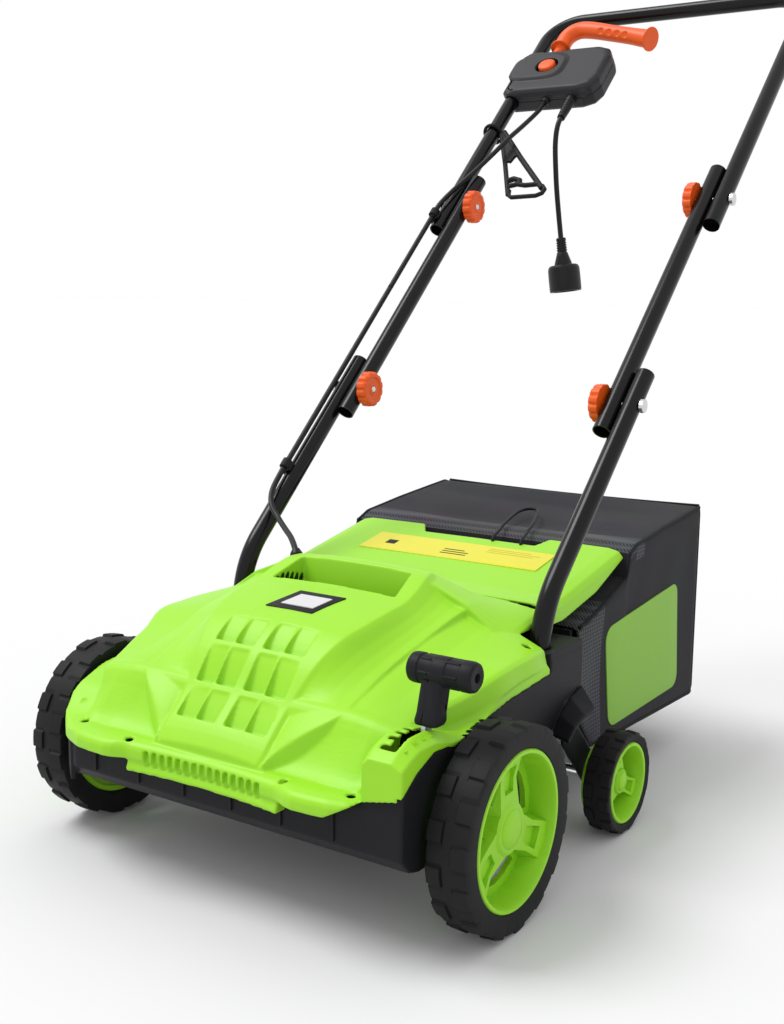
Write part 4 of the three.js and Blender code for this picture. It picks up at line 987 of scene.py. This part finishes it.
def add_knob(name, side, s, node, body):
    """Twelve-lobed star knob with a stepped face and a dished centre."""
    sides = 144
    rows = [(1.0, 0.0, 0.55), (1.0, 1.2, 1.0), (1.0, 8.2, 1.0), (0.965, 10.6, 0.9), (0.90, 11.7, 0.6),
            (0.70, 11.9, 0.0), (0.66, 11.0, 0.0), (0.60, 10.6, 0.0), (0.36, 10.9, 0.0),
            (0.33, 11.6, 0.0), (0.20, 11.9, 0.0), (0.17, 9.6, 0.0), (0.02, 9.4, 0.0)]
    rings = []
    for share, h, lobed in rows:
        ring = []
        for k in range(sides):
            a = 2 * math.pi * k / sides
            dip = 2.3 * lobed * (0.5 - 0.5 * math.cos(12 * a)) ** 3
            r = 22.6 * share - dip
            x = side * (167.6 - h)
            ring.append(on_handle(x, s + r * math.cos(a), r * math.sin(a)))
        rings.append(ring)
    knob = skin(name, rings)
    dress(knob, ORANGE, body, [node], smooth=40)
    nut = turned(name + "_nut", [(0, 0), (4.4, 0), (4.6, 1.2), (3.4, 2.2), (0, 2.4)],
                 on_handle(side * 157.6, s, 0), (-side, 0, 0), 6)
    dress(nut, STEEL, body, smooth=20)


def add_knobs():
    for end, side in (("left", -1), ("right", 1)):
        add_knob(f"star_lower_{end}", side, 0, f"lower_knob_{end}", f"knob_lower_{end}")
        add_knob(f"star_upper_{end}", side, UPPER_S, f"upper_knob_{end}", f"knob_upper_{end}")


def superellipse(cx, cy, rx, ry, power, count=64):
    points = []
    for a in np.linspace(0, 2 * math.pi, count, endpoint=False):
        ca, sa = math.cos(a), math.sin(a)
        points.append((cx + rx * np.sign(ca) * abs(ca) ** (2 / power),
                       cy + ry * np.sign(sa) * abs(sa) ** (2 / power)))
    return points


def stack(name, layers):
    """Solid from outlines in the handle's plane at rising heights off it."""
    return skin(name, [[on_handle(x, s, n) for x, s in outline] for outline, n in layers])


def chamfered(x0, x1, s0, s1, cut_left, cut_right):
    a, b = cut_left, cut_right
    return [(x0 + a, s0), (x1 - b, s0), (x1 - b * 0.3, s0 + b * 0.3), (x1, s0 + b), (x1, s1 - b),
            (x1 - b * 0.3, s1 - b * 0.3), (x1 - b, s1), (x0 + a, s1), (x0, s1 - a), (x0, s0 + a)]


def add_switch_box():
    """Two half shells, with a raised pad round the button."""
    def outline(g, k=0):
        return chamfered(-216 + g + k, -61 - g, BOX_LOW + g, 691 - g, 9, 24)

    cover = stack("cover", [(outline(0), 0.3), (outline(0), 11), (outline(1.2, 2), 15),
                            (outline(4.5, 6), 18), (outline(7.5, 8), 18.8)])
    pad = stack("pad", [(superellipse(-172, 646, 46, 31, 3.4), 8),
                        (superellipse(-172, 646, 46, 31, 3.4), 19.6),
                        (superellipse(-172, 646, 41, 26.5, 3.2), 22.2)])
    trough = stack("trough", [(superellipse(*BUTTON, 17, 15, 2), 15),
                              (superellipse(*BUTTON, 19, 17, 2), 26)])
    hollow = stack("hollow", [(outline(3), -1), (outline(3), 9), (outline(6, 2), 17.6)])
    gate = rectangle(-179, -141, 684, 700)
    grip_slot = stack("gate", [(gate, 0), (gate, 18.5)])
    channel = tube("channel", [on_handle(-OUTER_X, s, 0) for s in (570, 710)], 11.4, 32)
    lip = rectangle(-188, -76, BOX_LOW - 0.8, 600)
    mouth = stack("mouth", [(lip, 0.6), (lip, 9), (rectangle(-184, -80, 592, 600), 14)])
    trim = block("trim", (-260, -216.2), (-100, 2000), (0, 2000))
    combine(cover, [pad, mouth])
    combine(cover, [trim], "DIFFERENCE")
    combine(cover, [hollow, trough, grip_slot, channel], "DIFFERENCE")
    soften(cover, 1.0, 2)
    cover.name = "switch_cover"
    dress(cover, GREY, "top_handle", ["switch_box_cover"], smooth=0)
    base = stack("base", [(outline(6, 5), -21), (outline(2.5, 2), -19.4), (outline(0), -15),
                          (outline(0), -0.3)])
    well = stack("well", [(outline(4), -17), (outline(3), 1)])
    channel = tube("channel", [on_handle(-OUTER_X, s, 0) for s in (570, 710)], 11.4, 32)
    combine(base, [well, channel], "DIFFERENCE")
    soften(base, 1.0, 2)
    base.name = "switch_base"
    dress(base, GREY, "top_handle", ["switch_box_base"], smooth=0)
    button = stack("start_cap", [(superellipse(*BUTTON, across, along, 2.2), height)
                                 for across, along, height in
                                 ((13, 12, 12), (13, 12, 22.5), (12.2, 11.2, 23.9), (10, 9, 24.6),
                                  (6, 5.4, 24.9))])
    dress(button, ORANGE, "button", ["start_button"], smooth=50)


def add_switch_lever():
    """Dead-man lever: a flattened horn that leaves the box and lies under the cross bar."""
    n = 10                          # height of its pivot off the handle's plane
    stations = [(-160, 676, n, 8, 8), (-159, 688, n, 8, 8), (-158, 698, n, 9, 8.5),
                (-158, 704, n + 1, 13, 11), (-157.5, 716, n + 2, 13, 11.5),
                (-155, 727, n + 3, 13.5, 12), (-147, 736, n + 4, 14, 12),
                (-134, 740, n + 4, 14, 12), (-112, 735, n + 4, 13.2, 12),
                (-80, 723.5, n + 4, 12.2, 12), (-45, 711, n + 4, 12.5, 12),
                (-20, 701.5, n + 4, 14, 12.5), (-10, 698, n + 4, 15, 13)]
    plan = spline(stations, 60)
    direction = np.gradient(plan[:, :2], axis=0)
    direction /= np.linalg.norm(direction, axis=1)[:, None]
    rings = []
    for (x, s, off, wide, thick), (dx, ds) in zip(plan, direction):
        ring = []
        for a in np.linspace(0, 2 * math.pi, 28, endpoint=False):
            across = wide * math.cos(a)
            ring.append(on_handle(x - ds * across, s + dx * across, off + thick * math.sin(a)))
        rings.append(ring)
    lever = skin("lever", rings)
    flange = turned("flange", [(0, -2), (17, -2), (17.6, -0.6), (17.2, 1), (0, 1)],
                    on_handle(-9, 697.6, n + 4), handle_direction(0.94, -0.34, 0), 40)
    collar = turned("collar", [(0, -1.6), (15.5, -1.6), (16.2, 0), (15.4, 1.6), (0, 1.6)],
                    on_handle(-158, 700.5, n + 1), handle_direction(0, 1, 0), 40)
    hub = turned("hub", [(0, -6), (9, -6), (9, 6), (0, 6)], on_handle(-160, 675, n),
                 handle_direction(0, 0, 1), 28)
    combine(lever, [flange, collar, hub])
    dimples = []
    for k in range(4):
        x = -96 + 15 * k
        s = float(np.interp(x, [-112, -20], [735, 701.5]))
        dimples.append(turned("dimple", [(0, -1.6), (4.6, -1.6), (5.4, 6), (0, 6)],
                              on_handle(x, s - 8.6, n + 12.2), handle_direction(0, -0.7, 0.71), 24))
    combine(lever, dimples, "DIFFERENCE")
    soften(lever, 0.9, 2)
    lever.name = "squeeze_lever"
    dress(lever, ORANGE, "lever", ["switch_lever"], smooth=0)


def add_hook():
    """Loose ring on the tube, two arms spreading down from it and a cord loop across their feet."""
    def bar(points, radius):
        return tube("bar", [on_handle(x, s, 0) for x, s in points], radius, 14)
    ring = tube("ring", [on_handle(-OUTER_X + 13.8 * math.cos(a), 515 + 3.2 * math.sin(a),
                                   13.8 * math.sin(a)) for a in np.linspace(0.02, 2 * math.pi, 44)],
                2.6, 12)
    arms = [bar([(-186, 512), (-150, 442), (-117, 374)], 3.6),
            bar([(-184, 518), (-130, 455), (-68, 386)], 4.2)]
    web = stack("web", [([(-189, 518), (-183, 521), (-139, 466), (-143, 446), (-156, 450)], -2.4),
                        ([(-189, 518), (-183, 521), (-139, 466), (-143, 446), (-156, 450)], 2.4)])
    loop = [bar([(-119, 384), (-116, 374), (-110, 369), (-72, 371), (-64, 376), (-63, 384),
                 (-70, 392)], 3.2), bar([(-122, 394), (-112, 397), (-98, 394), (-74, 396)], 3.6)]
    catch = bar([(-132, 404), (-122, 409), (-111, 405), (-108, 396)], 4.2)
    holder = combine(ring, [*arms, web, *loop, catch])
    soften(holder, 0.8, 3)
    holder.name = "cord_holder"
    dress(holder, BLACK, "hook", ["cord_hook"], smooth=0)


def add_clips():
    for end, s, body in (("upper", 320, "top_handle"), ("lower", -146, "chassis")):
        clip = copy_of(f"cable_clip_{end}", f"cable_keeper_{end}")
        soften(clip, 0.7, 2)
        dress(clip, BLACK, body, [f"cable_clip_{end}"], smooth=0)


# ------------------------------------------------------------------ flap
FLAP_SIDE = 189.6                   # clears the handle's lower tubes when the flap is lifted
FLAP_HINGE = (212, 255)


def flap_top(y):
    return 262 + max(0, y - 244) * 0.198


def flap_solid(inset):
    """The flap's outside, or the solid that hollows it from below and past both ends."""
    past = 4 if inset else 0
    side = FLAP_SIDE - inset
    rings = []
    for y in np.linspace(204 - past, 396 + past, 40):
        top = flap_top(y) - inset
        skirt = 200 if inset else flap_top(y) - 25 + max(0, y - 324) * 0.19
        half = [(0, top + 0.6), (120, top), (side - 18, top - 0.8), (side - 6, top - 3.4),
                (side - 0.5, top - 10), (side, skirt)]
        rings.append(mirrored(half, y))
    return skin("flap", rings)


def on_flap(outline, lift):
    return [(x, y, flap_top(y) + lift) for x, y in outline]


def add_flap():
    flap = flap_solid(0)
    notch = [(-92, 402), (-72, 372), (84, 372), (94, 402)]
    combine(flap, [flap_solid(WALL), prism("notch", notch, 200, 320, "xy")], "DIFFERENCE")
    combine(flap, [turned("lug", [(0, -12), (7, -12), (7, 12), (0, 12)], (x, *FLAP_HINGE), (1, 0, 0), 28)
                   for x in (-130, 130)])
    bore = turned("bore", [(0, -150), (3.4, -150), (3.4, 150), (0, 150)], (0, *FLAP_HINGE),
                  (1, 0, 0), 20)
    combine(flap, [bore], "DIFFERENCE")
    soften(flap, 1.5, 2)
    flap.name = "discharge_flap"
    dress(flap, GREEN, "flap", ["rear_flap"], smooth=0)
    add_flap_label()


def add_flap_label():
    """Yellow label with plain bars: a mark at the left, dark bars and pale bars."""
    face = rectangle(-124, 124, 299, 350)
    dress(skin("flap_label", [on_flap(face, -0.8), on_flap(face, 1.15)]), YELLOW, "flap")
    dark = [(-14, 22, 312, 314), (-14, 22, 318, 320), (-14, 14, 324, 326)]
    pale = [(40, 104, 331, 332.2), (40, 110, 336, 337.2), (40, 96, 341, 342.2)]
    mark = [(-98, -84, 318, 330)]
    for k, sides in enumerate(dark + pale + mark):
        bar = rectangle(*sides)
        dress(skin(f"label_bar_{k}", [on_flap(bar, 0), on_flap(bar, 1.3)]),
              BRASS if sides in pale else BLACK, "flap")


# ------------------------------------------------------------------ bag
BAG = [(268, 197, 124, 224), (285, 197, 101, 227), (306, 197, 76, 232), (340, 197, 72.5, 242),
       (392, 197, 70.5, 259), (399, 197, 70, 287), (420, 197, 69.4, 296), (500, 197, 66, 305),
       (580, 197, 63, 312), (616, 197, 61.5, 315), (625, 193, 64, 312)]


BAG_CORNER = 7.0
PIPING_R = 2.3


def bag_size(y):
    """Half width, bottom and top of the bag at a distance back."""
    rows = np.array(BAG)
    return [np.interp(y, rows[:, 0], rows[:, k]) for k in (1, 2, 3)]


def bag_ring(y):
    half, low, high = bag_size(y)
    height, flat = high - low, half - BAG_CORNER

    def corner(x, z, start, stop):
        return [(x + BAG_CORNER * math.cos(math.radians(a)), y,
                 z + BAG_CORNER * math.sin(math.radians(a))) for a in np.linspace(start, stop, 5)[1:-1]]

    def wall(side, steps):
        return [(side * (half - pinch(t, y)), y, high - BAG_CORNER - t * (height - 2 * BAG_CORNER))
                for t in steps]

    top = [(t * flat, y, high - sag(t * flat / half, y)) for t in np.linspace(-1, 1, 33)]
    bottom = [(t * flat, y, low + 1.5 * (1 - t * t)) for t in np.linspace(1, -1, 17)]
    return [*top, *corner(flat, high - BAG_CORNER, 90, 0), *wall(1, np.linspace(0, 1, 17)),
            *corner(flat, low + BAG_CORNER, 0, -90), *bottom,
            *corner(-flat, low + BAG_CORNER, -90, -180), *wall(-1, np.linspace(1, 0, 17)),
            *corner(-flat, high - BAG_CORNER, 180, 90)]


def sag(u, y):
    """How far the top cloth hangs below its piped edges."""
    back = np.clip((y - 400) / 60, 0, 1) * np.clip((620 - y) / 60, 0, 1)
    folds = 0.5 * math.sin(y / 17 + 2.1 * u) + 0.4 * math.sin(u * 9 + y / 41)
    return back * (5.5 * (1 - u * u) + folds * (1 - u ** 6))


def pinch(t, y):
    """How far a side panel draws in between its seams."""
    span = np.clip((y - 268) / 40, 0, 1) * np.clip((622 - y) / 30, 0, 1)
    return span * (3.2 * math.sin(math.pi * t) + 0.5 * math.sin(y / 13 + 5 * t) * math.sin(math.pi * t))


def add_bag():
    ys = sorted({*np.linspace(268, 625, 61), 392.0, 396.0, 399.0, 404.0})
    rings = [bag_ring(y) for y in ys]
    end = [[(x * k, 626.6 + b, 186 + (z - 186) * k) for x, _, z in rings[-1]]
           for k, b in ((0.975, 0.2), (0.9, 0.3), (0.6, 0.2), (0.2, -0.3))]
    inner = [[(x * 0.985, y, 175 + (z - 175) * 0.978) for x, y, z in ring] for ring in rings[::-1]]
    inner[0] = [(x, y - 3.5, z) for x, y, z in inner[0]]
    back = [[(x * k, 617.0, 186 + (z - 186) * k) for x, _, z in rings[-1]] for k in (0.2, 0.6, 0.9)]
    bag = bag_skin("grass_bag", rings + end, back + inner)
    bag.data.materials.append(CLOTH)
    bag.data.materials.append(NETTING)
    for face in bag.data.polygons:
        c = face.center
        y, z, x = (c.y - AXLE_Y) / MM, c.z / MM, abs(c.x) / MM
        low_front = y < 336 and z < 244 and x > 150
        top_patch = z > 280 and 400 < y < 440
        face.material_index = 1 if low_front or top_patch else 0
    dress(bag, CLOTH, "bag", ["bag_fabric"], smooth=50)
    add_bag_trim()


def bag_skin(name, outer, inner):
    """Two nested shells, each closed at the rear, joined by a rim round the open front."""
    count = len(outer[0])
    verts = [tuple(p) for ring in outer + inner for p in ring]
    faces = []
    for start, rows in ((0, len(outer)), (len(outer), len(inner))):
        for r in range(start, start + rows - 1):
            for i in range(count):
                a, b = r * count + i, r * count + (i + 1) % count
                faces.append((a, b, b + count, a + count))
    last_outer = (len(outer) - 1) * count
    faces.append(tuple(last_outer + i for i in range(count)))
    first_inner = len(outer) * count
    faces.append(tuple(first_inner + i for i in reversed(range(count))))
    last_inner = (len(outer) + len(inner) - 1) * count
    for i in range(count):
        j = (i + 1) % count
        faces.append((i, j, last_inner + j, last_inner + i))
    return raw(name, verts, faces)


def edge_line(side, top, y0, y1, steps):
    """A long edge of the bag, just inside its corner."""
    points = []
    for y in np.linspace(y0, y1, steps):
        half, low, high = bag_size(y)
        points.append((side * (half - 1.5), y, high - 1.5 if top else low + 1.5))
    return points


def add_bag_trim():
    """Piping round the side panels and the top, and the printed side panels."""
    for end, side in (("left", -1), ("right", 1)):
        front = [(side * 195.8, 398, 286), (side * 195.8, 394, 262),
                 *edge_line(side, True, 390, 270, 20)]
        rear = [(side * 192, 626, 303), (side * 192, 626.5, 70)]
        rim = [*front[::-1], *edge_line(side, True, 400, 624, 60)[1:], *rear,
               *edge_line(side, False, 270, 624, 60)[::-1]]
        dress(tube(f"bag_piping_{end}", rim, PIPING_R, 10), PIPING, "bag", smooth=0)
        add_side_panel(end, side)
    hem = [(x, 625.5, 314 - 2.5 * (1 - (x / 192) ** 2)) for x in np.linspace(-192, 192, 40)]
    dress(tube("bag_top_hem", hem, PIPING_R, 10), PIPING, "bag", smooth=0)


def add_side_panel(end, side):
    corners = [(342, 207, 0), (558, 225, 0), (565, 87, 0), (356, 85, 0)]
    outline = []
    for i, corner in enumerate(corners):
        outline += [p[:2] for p in rounded(corners[i - 1], corner, corners[(i + 1) % 4], 17, 7)]
    centre = np.mean(np.array(outline), axis=0)
    rings = []
    for share, lift in ((1.0, -0.6), (1.0, 0.7), (0.985, 1.1), (0.7, 1.1), (0.35, 1.1), (0.02, 1.1)):
        ring = []
        for y, z in (centre + (np.array(p) - centre) * share for p in outline):
            half, low, high = bag_size(y)
            t = np.clip((high - BAG_CORNER - z) / (high - low - 2 * BAG_CORNER), 0, 1)
            ring.append((side * (half - pinch(t, y) + lift), y, z))
        rings.append(ring)
    dress(skin(f"bag_side_panel_{end}", rings), PANEL, "bag", smooth=50)


def add_bail():
    """Wire loop that lies back on the bag, and the ends of its wire under the flap."""
    path = spline([(20, 401, 297), (14, 425, 301), (8, 462, 306.5), (9, 482, 309), (17, 490, 310),
                   (28, 484, 309.5), (38, 462, 306.5), (50, 430, 302), (58, 401, 297)], 60)
    bail = tube("bag_lift_loop", path, 2.0, 12)
    dress(bail, BLACK, "bail", ["bag_bail"], smooth=0)
    for name, line in (("near", [(58, 402, 297), (66, 372, 291.5), (68, 366, 280)]),
                       ("far", [(20, 402, 297), (27, 372, 291.5), (29, 366, 280)])):
        end = tube(f"bag_loop_end_{name}", spline(line, 12), 2.0, 12)
        dress(end, BLACK, "bag", smooth=0)


# ------------------------------------------------------------------ studio
def add_studio():
    material, tree, shader = nodes_of("studio floor")
    shader.inputs["Base Color"].default_value = (0.66, 0.66, 0.665, 1)
    shader.inputs["Roughness"].default_value = 0.7
    shader.inputs["Specular IOR Level"].default_value = 0.1
    mesh = bpy.data.meshes.new("floor")
    size = 60
    mesh.from_pydata([(-size, -size, 0), (size, -size, 0), (size, size, 0), (-size, size, 0)], [],
                     [(0, 1, 2, 3)])
    mesh.materials.append(material)
    floor = bpy.data.objects.new("floor", mesh)
    bpy.context.scene.collection.objects.link(floor)
    world = bpy.data.worlds.new("studio")
    world.use_nodes = True
    world.node_tree.nodes["Background"].inputs["Color"].default_value = (1, 1, 1, 1)
    world.node_tree.nodes["Background"].inputs["Strength"].default_value = 1.0
    bpy.context.scene.world = world
    data = bpy.data.lights.new("key", "SUN")
    data.angle = math.radians(30)
    data.energy = 2.0
    lamp = bpy.data.objects.new("key", data)
    lamp.rotation_euler = Vector((0.50, 0.22, -0.84)).to_track_quat("-Z", "Y").to_euler()
    bpy.context.scene.collection.objects.link(lamp)
    bpy.context.scene.view_settings.view_transform = "Standard"


add_camera()
add_cords()
add_wheels()
add_hood()
add_figures()
add_badge()
add_chassis()
add_finishes()
add_depth_lever()
add_tubes()
add_knobs()
add_switch_box()
add_switch_lever()
add_hook()
add_clips()
add_flap()
add_bag()
add_bail()
add_studio()
